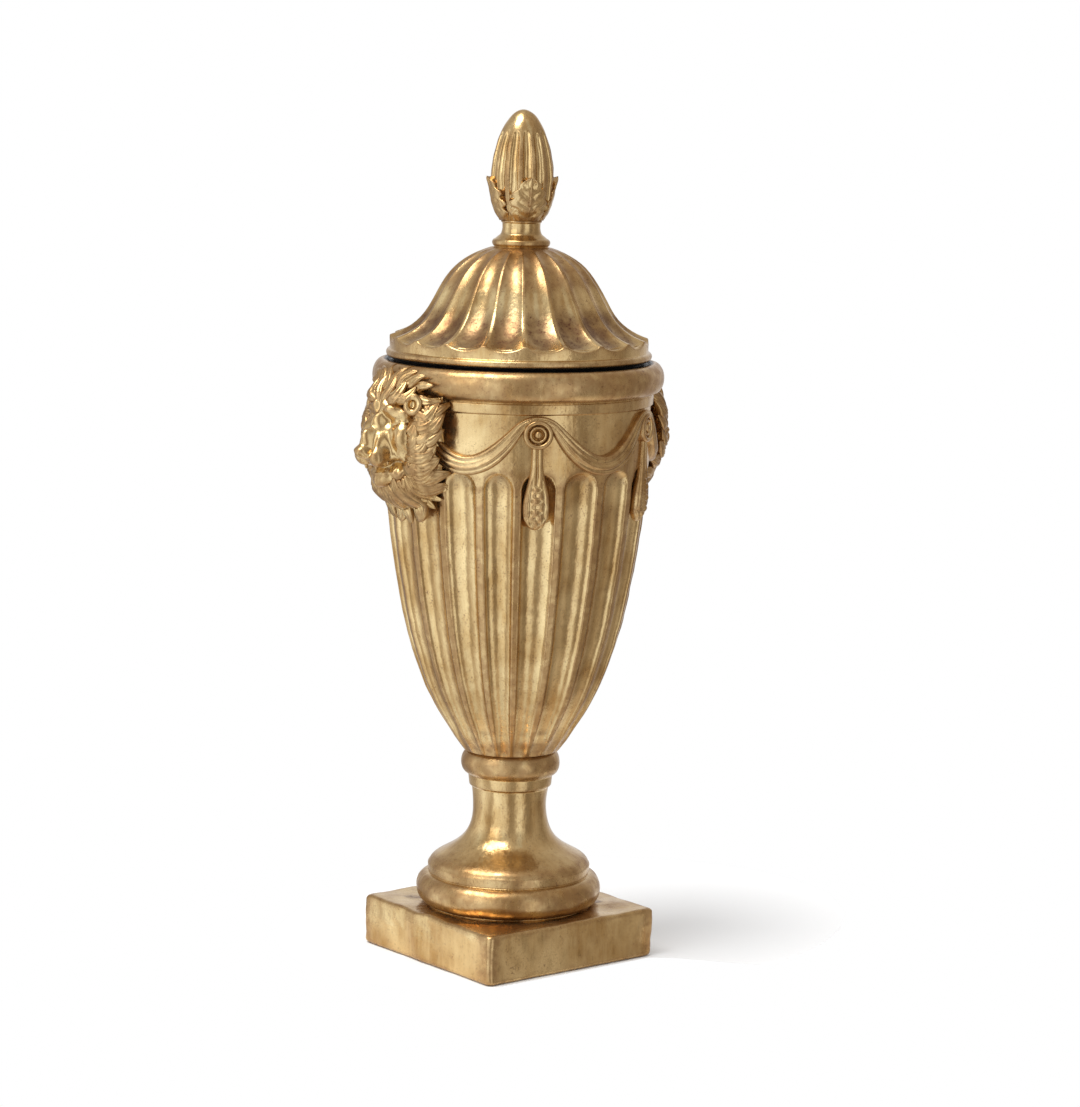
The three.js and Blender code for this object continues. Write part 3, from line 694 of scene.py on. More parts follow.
# The other locks on one side, one by one: root, tip, sag, flick, width, lift, strands, blunt.
# The first eight are the crown, and the others are the beard.
SINGLE_LOCKS = [
    ((17.0, 33), (32.0, 33.0), 1.6, 1.5, 6.6, (-2.5, -0.5), 3, 2.4),
    ((14.5, 34), (29.0, 39.5), -1.4, -1.6, 7.2, (-1.5, 0.4), 3, 2.4),
    ((11.0, 34), (23.5, 44.5), -2.0, -2.0, 8.0, (-0.5, 1.0), 3, 2.6),
    ((7.0, 33), (16.5, 47.5), -1.8, -2.2, 8.4, (0.3, 1.6), 3, 2.6),
    ((2.8, 31), (8.0, 49.0), -1.4, -1.8, 7.8, (0.8, 2.0), 3, 2.6),
    ((9.0, 31), (19.5, 38.5), 1.8, 2.2, 7.4, (1.6, 3.0), 3, 2.6),
    ((4.6, 29), (12.5, 41.5), 1.8, 2.4, 8.2, (2.4, 3.8), 2, 2.8),
    ((1.6, 28), (4.4, 44.5), 1.0, 1.2, 6.6, (2.6, 3.6), 2, 2.8),
    ((17.0, -10), (30.0, -20.0), 2.6, 3.2, 7.4, (-2.5, -1.4), 4, 3.2),
    ((16.0, -12), (27.0, -26.0), 2.6, 3.2, 7.8, (-1.5, -0.8), 4, 3.2),
    ((14.5, -14), (22.5, -31.5), 2.4, 3.0, 8.2, (-0.5, 0.2), 4, 3.2),
    ((12.0, -15), (17.0, -36.0), 2.0, 2.4, 9.4, (0.6, 1.0), 4, 6.5),
    ((8.5, -15), (11.0, -40.5), -2.2, -2.6, 10.4, (1.0, 1.2), 5, 7.5),
    ((5.0, -17), (5.0, -42.0), 1.6, 2.0, 8.8, (1.4, 1.4), 4, 7.0),
    ((1.6, -18), (1.8, -39.0), -0.8, -1.0, 6.4, (2.0, 1.6), 3, 3.4),
    ((10.0, -14), (14.5, -29.0), 1.6, 2.0, 6.6, (1.8, 2.0), 4, 3.6),
    ((3.6, -18), (5.6, -31.0), -1.0, -1.2, 6.2, (2.6, 2.6), 3, 3.4),
]
one_side = (
    side_locks(7, 5, 20.0, 34.0, (28, 31), (-11, -17), (-6.0, -2.2), 10.4)
    + side_locks(8, 6, 17.5, 31.4, (25, 29), (-11, -16), (-6.0, -0.4), 9.4)
    + side_locks(8, 9, 16.0, 26.0, (21, 25), (-10, -14), (-6.5, 0.2), 8.0)
    + [lock(*row) for row in SINGLE_LOCKS]
)
print("each side of a mane has", len(one_side), "locks")

# %% [markdown]
# An ear is a turned cup that is set askew, and a tooth a turned cone. All is made for one side and
# mirrored, and the whole mask is then turned to the urn's left and right.

# %% Ears and teeth


def ear():
    """A round cup: out over its back, round the rim and in again. Its mouth looks forwards and
    to the side, and it leans back into the mane."""
    line = softened([[[0.4, -5.6], [4.4, -4.0], [5.3, -0.6]], arc((3.8, 0.2), (1.7, 1.4), 0, 172),
                     [[1.9, -0.7], [1.2, -1.3], [0.3, -1.6]]], blur=0.25, step=0.1)
    cup = turned(thinned(line, 34, longest=0.6), 44)
    cup[..., 1] *= 1.2
    forwards = np.array([0.62, 0.16, 0.77])
    forwards /= np.linalg.norm(forwards)
    across = np.cross([0, 1, 0], forwards)
    across /= np.linalg.norm(across)
    upwards = np.cross(forwards, across)
    spot = np.array([20.2, 28.6, 92.2])
    return spot + cup[..., :1] * across + cup[..., 1:2] * upwards + cup[..., 2:] * forwards


def tooth(side, up, reach, long, thick):
    """A small cone with a rounded point, standing or hanging by the sign of its length."""
    t = np.linspace(0, 1, 8)
    line = np.column_stack([thick * np.sqrt(1 - (t * 0.985) ** 1.6), long * t])
    cone = turned(line, 12)
    return np.stack([side + cone[..., 0], up + cone[..., 2], reach + cone[..., 1]], -1)


def mirrored(grids):
    """The same grids and their mirror images."""
    return grids + [grid * np.array([-1, 1, 1]) for grid in grids]


hair = mirrored(one_side)
features = mirrored([ear(), tooth(4.7, -6.0, 105.6, -3.6, 1.1),
                     tooth(5.6, -12.6, 99.6, 3.6, 1.1), tooth(8.6, -4.4, 100.6, -2.2, 1.0)])
masks = []
for side, word in ((-1, "left"), (1, "right")):
    face = [mask_to_urn(grid, side) for grid in [head] + features]
    masks.append(make_piece("lion_head_" + word, face))
    masks.append(make_piece("lion_mane_" + word, [mask_to_urn(grid, side) for grid in hair]))

# %% [markdown]
# ## The swags
# A strip of cloth is drawn round the bowl. It goes over each rosette and behind each mane, and
# sags between them. Its folds lie close at the rosettes and spread in the middle. The six sags
# are one closed run, so that the cloth has no ends.

# %% The swags
ROSETTE_HEIGHT = BAND_BOTTOM - 10.9
SWAG_KNOT = 7.8
SWAG_SAG = 18.6
SWAG_TOP = ROSETTE_HEIGHT + SWAG_KNOT
SWAG_LOW = ROSETTE_HEIGHT - SWAG_SAG


def bowl_radius(height):
    """The bowl's outer radius at a height, read off its line."""
    return np.interp(height, bowl_line[:, 1], bowl_line[:, 0])


def swag_line(steps):
    """The middle line as distance round the bowl and height. From each knot it bends round the
    rosette and then hangs to its lowest point, on two cubic curves, and the other half mirrors
    them."""
    bay = TURN / 6 * BOWL_RADIUS
    half = np.concatenate([
        bezier((0, SWAG_KNOT), (7.0, SWAG_KNOT), (9.6, 4.4), (12.6, 0.6), 30),
        bezier((12.6, 0.6), (18.0, -6.2), (28.0, -SWAG_SAG), (bay / 2, -SWAG_SAG), 60)[1:],
    ])
    bay_line = np.concatenate([half, [[bay, 0]] + half[-2:0:-1] * [-1, 1]])
    line = np.concatenate([bay_line + [bay * (k + 0.5), ROSETTE_HEIGHT] for k in range(6)])
    line = walked(np.concatenate([line, line[:1] + [6 * bay, 0]]), 0.2)
    at = np.linspace(0, len(line) - 1, steps + 1)[:-1]
    return [np.interp(at, np.arange(len(line)), line[:, k]) for k in (0, 1)]


def swag_grid(steps=840, columns=36):
    """The section lies across the middle line in the bowl's surface and bulges outwards. Three
    narrow creases part it into folds, and they wander a little along the cloth."""
    x, height = swag_line(steps)
    turn = x / BOWL_RADIUS
    drop = np.clip((SWAG_TOP - height) / (SWAG_TOP - SWAG_LOW), 0, 1)
    width = 5.0 + 6.4 * np.sin(math.pi / 2 * drop) ** 1.2
    ahead = np.stack([np.roll(x, -1) - np.roll(x, 1), np.roll(height, -1) - np.roll(height, 1)], -1)
    ahead[[0, -1], 0] += TURN * BOWL_RADIUS
    ahead /= np.linalg.norm(ahead, axis=1)[:, None]
    angle = np.arange(columns) * TURN / columns
    v, over = np.cos(angle), np.sin(angle)
    folds = 1.0
    for place, deep, seed in ((-0.52, 0.36, 0), (-0.02, 0.30, 2), (0.44, 0.42, 4)):
        crease = v - place - 0.06 * np.sin(7 * turn + seed)[:, None]
        folds = folds - deep * np.exp(-np.abs(crease / 0.13) ** 1.5)
    upper = np.where(over > 0, np.maximum(over, 0) ** 0.7 * folds, 0)
    bulge = (3.4 + 1.4 * drop[:, None]) * upper + 4.0 * np.minimum(over, 0) + 0.3
    side = -ahead[:, 1:] * v * width[:, None] / 2 / BOWL_RADIUS + turn[:, None]
    up = height[:, None] + ahead[:, :1] * v * width[:, None] / 2
    radius = bowl_radius(up) + bulge
    return np.stack([radius * np.sin(side), -radius * np.cos(side), up], -1)


swags = make_piece("swags", [swag_grid()], loop=True)

# %% [markdown]
# ## The rosettes
# Four rosettes pin the cloth up, each a turned button of two rings and a boss. They are set on
# the bowl by an angle and a height, and so are the tassels under them.

# %% The rosettes
ROSETTE_ANGLES = np.radians([30, 150, 210, 330])


def set_on_bowl(points, angle, height):
    """Points that are (to the side, up, out) from a spot on the bowl, bent with the bowl."""
    up = height + points[..., 1]
    radius = bowl_radius(up) + points[..., 2]
    turn = angle + points[..., 0] / BOWL_RADIUS
    return np.stack([radius * np.sin(turn), -radius * np.cos(turn), up], -1)


def rosette():
    """The button's profile, turned about the line that points outwards."""
    line = softened([
        [[0.3, -2], [8.4, -2], [8.5, 1.9]], arc((7.0, 2.2), (1.5, 2.0), 0, 172, 14),
        [[5.5, 1.0], [5.0, 0.8]], arc((4.1, 1.9), (1.0, 1.7), -20, 195, 12), [[2.8, 1.1]],
        arc((0.3, 1.4), (2.2, 2.9), 5, 88, 12),
    ], blur=0.2, step=0.1)
    return turned(thinned(line, 50, longest=0.8), 60)


button = rosette()
rosettes = make_piece("rosettes", [set_on_bowl(button, a, ROSETTE_HEIGHT) for a in ROSETTE_ANGLES])

# %% [markdown]
# ## The tassels
# A tassel hangs from each rosette, in the middle of a flute: a doubled cord, then a husk with
# berries between two smooth leaves. One section runs down it and changes on the way, as a carver
# would cut all of it from one rod.

# %% The tassels
TASSEL_TOP = 5.0
TASSEL_LONG = 50.0


def tassel(columns=44, rows=124):
    """Half width and half height grow from the cord to the husk and close at its end. The outer
    half of the section has two strands in the cord, and further down two smooth sleeves with round
    berries between them, which stand in two staggered patterns of sines and cosines."""
    t = np.linspace(0, 1, rows)[:, None]
    angle = np.arange(columns) * TURN / columns
    v, over = np.cos(angle)[None, :], np.sin(angle)[None, :]
    grown = np.clip((t - 0.22) / 0.52, 0, 1)
    grown = grown**2 * (3 - 2 * grown)
    wide = 3.2 + 4.3 * grown
    wide = wide * np.sqrt(np.clip(1 - ((t - 0.76) / 0.24).clip(0, 1) ** 2.2, 0.0, 1)) + 0.15
    tall = 2.4 + 3.0 * grown
    tall = tall * np.sqrt(np.clip(1 - ((t - 0.78) / 0.22).clip(0, 1) ** 2.2, 0.0, 1)) + 0.12
    open_share = np.clip((t - 0.38) / 0.14, 0, 1)
    cord = 1 - 0.6 * np.exp(-((v / 0.17) ** 2))
    place = (v + 0.10) * 2.7
    one = np.abs(np.cos(24 * t) * np.cos(math.pi * place / 2))
    two = np.abs(np.sin(24 * t) * np.sin(math.pi * place / 2))
    middle = np.exp(-(((v - 0.04) / 0.52) ** 6))
    low = np.clip((t - 0.78) / 0.1, 0, 1)
    seam = 1 - 0.42 * np.exp(-(((np.abs(v - 0.04) - 0.55) / 0.09) ** 2)) * (1 - 0.6 * low)
    berries = seam - 0.52 * (middle + (1 - middle) * low) * (1 - np.maximum(one, two) ** 0.7)
    shape = cord * (1 - open_share) + berries * open_share
    out = tall * np.where(over > 0, np.maximum(over, 0) ** 0.72 * shape, 0.8 * over)
    side = wide * v + 0 * t
    up = -TASSEL_TOP - TASSEL_LONG * t + 0 * v
    return np.stack([side, up, out], -1)


husk = tassel()
tassels = make_piece("tassels", [set_on_bowl(husk, a, ROSETTE_HEIGHT) for a in ROSETTE_ANGLES])

# %% [markdown]
# ## The lid
# The lid is a fluted bell on a beaded flange. Its twenty channels meet in sharp edges, and end in
# round bottoms on the upright skirt, where the plain wall is left standing between them in small
# arches. Underneath it is hollow, with a spigot that drops into the urn's mouth.

# %% The lid's lines
lid_inside = [[0.5, 411.5], [14, 410.5], [34, 398], [46, 380], [56.5, 366], [58.8, 356],
              [59.5, SPIGOT_BOTTOM + 0.3], [60.2, SPIGOT_BOTTOM], [65.3, SPIGOT_BOTTOM],
              [66, SPIGOT_BOTTOM + 0.5], [66, SEAT + 0.3], [73.5, SEAT + 0.3],
              [74, FLANGE_BOTTOM], [76.6, FLANGE_BOTTOM]]
flange = arc((75.6, FLANGE_BOTTOM + 2.35), (2.3, 2.35), -80, 82, 20)
skirt_line = [[75.6, SKIRT_BOTTOM], [SKIRT_RADIUS, SKIRT_BOTTOM + 0.6],
              [SKIRT_RADIUS, DOME_BOTTOM - 0.6]]
dome_line = bezier((75.5, DOME_BOTTOM), (43.2, 377.8), (55.7, 408.7), (18.5, FINIAL_BOTTOM), 90)
base_rings = np.concatenate([
    [[18.2, 420.2], [16.4, 420.5]], arc((14.3, 423.1), (2.5, 2.5), -65, 72, 14), [[14.6, 425.7]],
    bezier((14.4, 425.9), (13.4, 427.2), (11.6, 427.4), (11.3, 429.6), 12),
    [[10.9, 431.5], [11.1, 434.6]], arc((11.0, 435.5), (1.0, 0.8), -70, 60, 8),
])
print("the lid's dome rises", round(FINIAL_BOTTOM - DOME_BOTTOM, 1), "mm over its skirt")

# %% [markdown]
# The lid's channels are the bowl's flutes again, but with hardly any land between them. They get
# narrower with the dome, and as their depth is a share of their width, they get shallower too.

# %% The lid
CHANNEL_SHARE = 0.70
NOTCH_SHARE = 0.68
CHANNELS_END = 420.3


def lid_grid():
    """The inside and the flange are plain. Above it each ring is sunk by the channels' depth. The
    upright skirt is cut down in its height instead, so that every channel runs out over it. The
    rings lie closer on the skirt."""

    def on_skirt(p):
        """A millimetre counts 1.1 more on the skirt."""
        return np.where((p[:, 0] > 74.5) & (p[:, 1] > SKIRT_BOTTOM), 1.1, 0)

    line = softened([lid_inside, flange, skirt_line, dome_line, base_rings], blur=0.35, step=0.2)
    line = thinned(line, 172, longest=4.5, sharpest=0.16, extra=on_skirt)
    half = [0, 0.15, 0.3, 0.44, 0.57, 0.68, 0.77, 0.84, 0.895, 0.95]
    angle, across = flute_columns(np.arange(FLUTES + 1) * 360 / FLUTES, half)
    height, radius = line[:, 1:], line[:, :1]
    outer = np.arange(len(line))[:, None] > np.argmax(line[:, 0])
    on_dome = np.clip((height - DOME_BOTTOM + 0.8) / 0.8, 0, 1)
    sink = CHANNEL_SHARE * flute_depth(across, 0, TURN * radius / FLUTES, 0.1, 0.95) * on_dome
    grid = turned(line, angle, sink * outer * np.clip((CHANNELS_END - height) / 4, 0, 1))
    notch = NOTCH_SHARE * flute_depth(across, 0, TURN * SKIRT_RADIUS / FLUTES, 0.1, 0.95)
    up_skirt = np.clip((height - SKIRT_BOTTOM) / (DOME_BOTTOM - SKIRT_BOTTOM), 0, 1) * outer
    grid[..., 2] -= up_skirt * notch * (1 - on_dome)
    return hand_finished(grid, seed=41, height=0.16)


lid = make_piece("lid_bell", [lid_grid()])

# %% [markdown]
# ## The finial
# An egg with fourteen shallow flutes that stop below its smooth tip. It is turned and fluted as
# the bowl is.

# %% The finial's egg
EGG_FLUTES = 14
EGG_FLUTES_END = 483.5
egg_line = softened([
    [[9.5, 433.5], [11.1, 434.4]],
    bezier((11.1, 435.6), (14.1, 439.8), (17.6, 443.7), (18.2, 458.0), 30),
    bezier((18.4, 460.0), (17.6, 485.0), (7.2, TIP), (0.35, TIP), 60),
], blur=0.4)


def egg_grid():
    """The egg's profile, turned and sunk by fourteen flutes that end in round tops."""
    line = thinned(egg_line, 104, longest=1.6)
    half = [0, 0.2, 0.38, 0.53, 0.63, 0.7, 0.82]
    angle, across = flute_columns(9.0 + np.arange(EGG_FLUTES + 1) * 360 / EGG_FLUTES, half)
    height, radius = line[:, 1:], line[:, :1]
    arch = np.clip((height - EGG_FLUTES_END) / 4.5, 0, 1)
    pitch = TURN * radius / EGG_FLUTES
    sink = flute_depth(across, arch, pitch, 0.3) * 1.15 * np.clip((height - 440) / 6, 0, 1)
    return hand_finished(turned(line, angle, sink), seed=43, size=9, height=0.14)


finial = make_piece("finial_egg", [egg_grid()])

# %% [markdown]
# The egg stands in a cup of four acanthus leaves, whose margins are cut into lobes and curl away
# from the egg a little. A leaf is a closed skin, thick along its ribs, that is wrapped on the egg.

# %% The finial's leaves
LEAF_FOOT = 436.2
LEAF_LONG = 25.0
LEAF_HALF = math.radians(43)
LOBES = 4.2
LEAF_ANGLES = np.radians([-23.5, 66.5, 156.5, 246.5])


def leaf_grid(angle, seed, rows=72, columns=60):
    """A leaf on the egg. Its half width follows a pointed oval that is notched by a row of lobes.
    It has a middle rib, veins that run up and out to each lobe, swollen margins, and a tip that
    leans outwards."""
    t = np.linspace(0, 1, rows)[:, None]
    turn = np.arange(columns) * TURN / columns
    v, over = np.cos(turn)[None, :], np.sin(turn)[None, :]
    height = LEAF_FOOT + LEAF_LONG * t
    oval = np.sin(math.pi * np.clip(0.34 + 0.66 * t, 0, 1)) ** 0.7
    lobes = 1 - 0.24 * np.abs(np.sin(math.pi * LOBES * t + 0.9)) ** 3 * np.clip(t * 4, 0, 1)
    half = LEAF_HALF * oval * lobes + 0.012
    ribs = 0.7 * np.exp(-((v / 0.12) ** 2))
    ribs = ribs + 0.5 * np.abs(np.cos(math.pi * LOBES * (t - 0.30 * np.abs(v)) + 0.9)) ** 0.7
    edge = 1 - np.abs(v) ** 6
    thick = 0.9 + 0.95 * ribs * edge + 0.7 * np.abs(v) ** 3
    curl = 1.9 * t**5 + 0.6 * t * np.abs(v) ** 2
    egg = np.interp(height, egg_line[:, 1], egg_line[:, 0])
    body = np.where(over > 0, np.maximum(over, 0) ** 0.6 * thick, over * 1.6)
    radius = egg - 0.2 + curl * (over > -0.4) + body
    side = angle + half * v
    up = height + 0 * v + 0.3 * waver(np.stack([v + 0 * t, t + 0 * v, 0 * t * v], -1), 0.4, seed)
    return np.stack([radius * np.sin(side), -radius * np.cos(side), up], -1)


leaves = make_piece("finial_leaves", [leaf_grid(a, 50 + k) for k, a in enumerate(LEAF_ANGLES)])

# %% [markdown]
# ## Where the clay shows
# Gold leaf is rubbed off the raised parts, and the deep creases go darker, partly for the dirt that
# stays in them and partly as painted shade. So each mesh carries two numbers per point, made by
# comparing the point with the average of its neighbours.
# The first looks a millimetre or two around: it is above zero in a hollow and below zero on an
# edge. The second looks some five millimetres around, and is above zero on what stands out. The
# slit under the lid is marked in the first with a high number, so that it is painted nearly black
# as painted shade.

# %% Mark hollows and edges
FEW_ROUNDS = 10
MANY_ROUNDS = 60
SLIT_INNER = 67.0
SLIT_OUTER = 79.5


def read(items, field, width, kind=np.float32):
    """One field of all of a mesh's points or edges, as an array with width numbers for each."""
    values = np.empty(len(items) * width, kind)
    items.foreach_get(field, values)
    return values.reshape(-1, width)


def painted_slit_shade(place):
    """1 in the slit between rim and lid, which is painted nearly black as painted shade, and 0
    elsewhere. It fades out over 0.8 mm at the slit's mouth and over 0.6 mm up the flange."""
    away = np.hypot(place[:, 0], place[:, 1]) / MM
    height = place[:, 2] / MM
    share = (away > SLIT_INNER) * (height > RIM_TOP - 6) * np.clip((SLIT_OUTER - away) / 0.8, 0, 1)
    return share * np.clip((FLANGE_BOTTOM + 0.9 - height) / 0.6, 0, 1)


def mark_hollows(piece):
    """Average every point with its neighbours 10 times, and then 60 times. What the average gains
    along the normal, in shares of 0.3 and of 1 mm, is how hollow the place is. Points in the
    slit between rim and lid are marked 4, so that the gold paints shade there in near black."""
    mesh = piece.data
    count = len(mesh.vertices)
    place = read(mesh.vertices, "co", 3).astype(float)
    normal = read(mesh.vertices, "normal", 3)
    a, b = read(mesh.edges, "vertices", 2, np.int32).T
    neighbours = np.bincount(a, minlength=count) + np.bincount(b, minlength=count)
    smooth = place.copy()
    gain = {}
    for number in range(1, MANY_ROUNDS + 1):
        gathered = [np.bincount(a, smooth[b, k], count) + np.bincount(b, smooth[a, k], count)
                    for k in range(3)]
        average = np.stack(gathered, 1) / np.maximum(neighbours, 1)[:, None]
        smooth = 0.4 * smooth + 0.6 * average
        if number in (FEW_ROUNDS, MANY_ROUNDS):
            gain[number] = ((smooth - place) * normal).sum(1) / MM
    # The slit's mark of 4 is for painted shade: it turns the slit nearly black.
    marks = {
        "hollow": np.maximum(np.clip(gain[FEW_ROUNDS] / 0.3, -2, 2), 4 * painted_slit_shade(place)),
        "raised": np.clip(-gain[MANY_ROUNDS], -2, 2),
    }
    for name, values in marks.items():
        layer = mesh.attributes.new(name, "FLOAT", "POINT")
        layer.data.foreach_set("value", values.astype(np.float32))


pieces = [plinth, foot, vessel, *masks, swags, rosettes, tassels, lid, finial, leaves]
for piece in pieces:
    mark_hollows(piece)
print("marked", len(pieces), "pieces")

# %% [markdown]
# ## Gold leaf over red clay
# Real leaf is a metal, so the shader is metallic, with the warm colour that gold has at a slant.
# The tone wanders slowly from sheet to sheet, and a burnisher's strokes run up and down. Fine dark
# specks come from the brushed clay beneath, and worn spots go to a warm brown. The hollows go to
# the same brown, partly for dirt and partly as painted shade, and the slit under the lid is painted
# shade in near black.

# %% Helpers for materials


def linear(text):
    """An sRGB colour written in hex, as the linear red, green, blue and alpha of the shader."""
    parts = np.array([int(text[k:k + 2], 16) for k in (1, 3, 5)]) / 255
    low = parts / 12.92
    high = ((parts + 0.055) / 1.055) ** 2.4
    return (*np.where(parts <= 0.04045, low, high), 1.0)


def node(tree, kind, inputs=(), **fields):
    """Add a node and set its own fields. A list of inputs fills its sockets from the first on, and
    a dictionary says which. An input is a plain value, another node's output, or another node,
    which stands for its first output."""
    made = tree.nodes.new("ShaderNode" + kind)
    for key, value in fields.items():
        setattr(made, key, value)
    for key, value in dict(inputs if isinstance(inputs, dict) else enumerate(inputs)).items():
        if isinstance(value, bpy.types.Node):
            value = value.outputs[0]
        if isinstance(value, bpy.types.NodeSocket):
            tree.links.new(value, made.inputs[key])
        else:
            made.inputs[key].default_value = value
    return made


print("the gold's red, green and blue:", [round(float(v), 3) for v in linear("#DABB85")[:3]])

# %% [markdown]
# Four noises carry the pattern of the gilding: the sheets' tone over some 26 mm, worn patches of
# about 5 mm, specks, and the burnisher's strokes, which are 3 mm wide and seven times as long. Real
# specks are as fine as dust. These are 1 mm wide, so that they show at this distance. A Map Range
# node lays a value's stretch, its second and third input, evenly onto another one, the last two.

# %% The gold material
# How wide the noises' patches are, in millimetres, and how much a stroke is slower along itself.
SHEET_PATCH = 26.3
WORN_PATCH = 4.76
SPECK = 1.053
STROKE = 3.03
STROKE_SLOW = 0.14


def gilt_material():
    """Gold leaf over red clay on cast resin. The colour starts as pale gold, and each further
    colour is laid over it by a share: what is rubbed more, or lies deeper in a crease, gets more of
    it. The brown in the creases is partly dirt and partly painted shade, and the near black in the
    slit under the lid is painted shade. A noise's scale is the whole number of its patches in a
    metre."""
    material = bpy.data.materials.new("gold leaf over red bole on cast resin")
    material.use_nodes = True
    tree = material.node_tree
    tree.nodes.clear()
    place = node(tree, "TexCoord").outputs["Object"]
    drawn_out = node(tree, "VectorMath", [place, (1.0, 1.0, STROKE_SLOW)], operation="MULTIPLY")
    slow, middle, fine, streak = (
        node(tree, "TexNoise", {"Vector": where, "Scale": round(1 / (size * MM)),
                                "Detail": detail, "Roughness": rough})
        for where, size, detail, rough in (
            (place, SHEET_PATCH, 3, 0.5), (place, WORN_PATCH, 2, 0.5),
            (place, SPECK, 2, 0.6), (drawn_out, STROKE, 3, 0.6),
        )
    )
    hollow, raised = (
        node(tree, "Attribute", attribute_name=name).outputs["Fac"] for name in ("hollow", "raised")
    )
    # Rubbed places: edges and what stands out, in some patches more than in others.
    edge = node(tree, "MapRange", [hollow, -0.15, -1.1, 0, 0.75])
    crown = node(tree, "MapRange", [raised, 0.18, 1.0, 0, 0.65])
    rubbed = node(tree, "Math", [
        node(tree, "Math", [edge, crown], operation="MAXIMUM"),
        node(tree, "MapRange", [middle, 0.32, 0.62, 0.5, 1.2]),
    ], operation="MULTIPLY", use_clamp=True)
    # Dark places: creases, darkened partly for dirt and partly as painted shade, and specks that lie
    # mostly between the strokes.
    crease_dirt_and_shade = node(tree, "Math", [
        node(tree, "MapRange", [hollow, 0.8, 2.0, 0, 0.7]),
        node(tree, "MapRange", [middle, 0.3, 0.6, 0.6, 1.1]),
    ], operation="MULTIPLY")
    specks = node(tree, "Math", [
        node(tree, "MapRange", [fine, 0.55, 0.66, 0, 0.75]),
        node(tree, "MapRange", [streak, 0.35, 0.6, 1, 0.2]),
    ], operation="MULTIPLY")
    specks = node(tree, "Math", [
        specks, node(tree, "MapRange", [middle, 0.38, 0.62, 0.3, 1.0]),
    ], operation="MULTIPLY")
    dark = node(tree, "Math", [specks, crease_dirt_and_shade], operation="ADD", use_clamp=True)
    # A Mix of colours takes its share at socket 0 and the colours at 6 and 7, and gives output 2.
    colour = linear("#DABB85")
    for share, over in (
        (node(tree, "MapRange", [slow, 0.35, 0.65, 0, 1]), "#B28C56"),
        (node(tree, "MapRange", [streak, 0.40, 0.72, 0, 0.25]), "#E9D09A"),
        (rubbed, "#A07A50"),
        # This brown is clay specks and dirt, and in the creases it is also painted shade.
        (dark, "#6C4A34"),
        # Painted shade: the slit under the lid goes nearly black.
        (node(tree, "MapRange", [hollow, 2.6, 3.6, 0, 1]), "#0A0705"),
    ):
        coat = node(tree, "Mix", {0: share, 6: colour, 7: linear(over)}, data_type="RGBA")
        colour = coat.outputs[2]
    # Burnished leaf is smooth, and clay and dirt are duller.
    worn = node(tree, "Math", [rubbed, dark], operation="MAXIMUM")
    rough = node(tree, "Math", [
        node(tree, "MapRange", [streak, 0.3, 0.7, 0.15, 0.21]),
        node(tree, "MapRange", [worn, 0, 1, 0, 0.22]),
    ], operation="ADD")
    relief = node(tree, "Math", [
        node(tree, "MapRange", [streak, 0.2, 0.8, 0, 0.3]),
        node(tree, "MapRange", [middle, 0.2, 0.8, 0, 1]),
    ], operation="ADD")
    bump = node(tree, "Bump", {"Strength": 0.2, "Distance": 0.6 * MM, "Height": relief})
    shader = node(tree, "BsdfPrincipled", {
        "Base Color": colour, "Roughness": rough, "Normal": bump,
        # The slit's painted shade is also made not metallic, so that it stays nearly black.
        "Metallic": node(tree, "MapRange", [hollow, 2.6, 3.6, 0.94, 0.0]),
    })
    node(tree, "OutputMaterial", [shader])
    return material


gilding = gilt_material()
for piece in pieces:
    piece.data.materials.append(gilding)
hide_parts("urn_body")
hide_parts("lid")
print("the gilding is on", len(pieces), "pieces")

# %% [markdown]
# ## Lamps
# The picture was taken in a white studio. A large soft lamp stands at the left, and a weaker one
# hangs overhead. A sun with a wide disc draws the soft shadow on the floor. It makes no
# highlights, because the real room shows none of it in the gold.

# %% The lamps


def from_camera(right, up, back):
    """A place given by how far it is to the right of the urn, above the floor, and towards the
    camera."""
    to_camera = np.array([math.sin(CAMERA_AZIMUTH), -math.cos(CAMERA_AZIMUTH), 0.0])
    to_right = np.array([-to_camera[1], to_camera[0], 0.0])
    spot = to_right * right + to_camera * back
    return (spot[0], spot[1], up)


def add_lamp(name, kind, power, place, target_height):
    """A lamp at a place given from the camera, facing a point on the urn's axis. Its back points
    away from the target, and its side is level."""
    made = bpy.data.objects.new(name, bpy.data.lights.new(name, kind))
    made.data.energy = power
    place = from_camera(*place)
    back = np.array(place) - [0, 0, target_height]
    back /= np.linalg.norm(back)
    side = np.cross([0, 0, 1], back)
    side /= np.linalg.norm(side)
    axes = np.array([side, np.cross(back, side), back]).T
    made.matrix_world = Matrix.Translation(place) @ Matrix(axes).to_4x4()
    bpy.context.scene.collection.objects.link(made)
    return made.data


key = add_lamp("key", "AREA", 5, (-1.5, 1.3, 1.5), 0.25)
key.size = 1.2
top = add_lamp("top", "AREA", 1.5, (-0.3, 2.0, 0.2), 0.20)
top.size = 1.6
sun = add_lamp("floor light", "SUN", 1.8, (-0.50, 1.35, 0.30), 0.0)
sun.angle = math.radians(32)
sun.specular_factor = 0.0
print("three lamps are set")

# %% [markdown]
# ## The room
# What polished gold shows is mostly the room it mirrors. So the world has bright and dark upright
# bands, as windows and walls make them, with an even ceiling and an even light from below. The
# dark bands are a little warmer than the bright ones. Only the gold sees them: the camera sees
# plain white behind the urn, and the floor is lit by an even white.

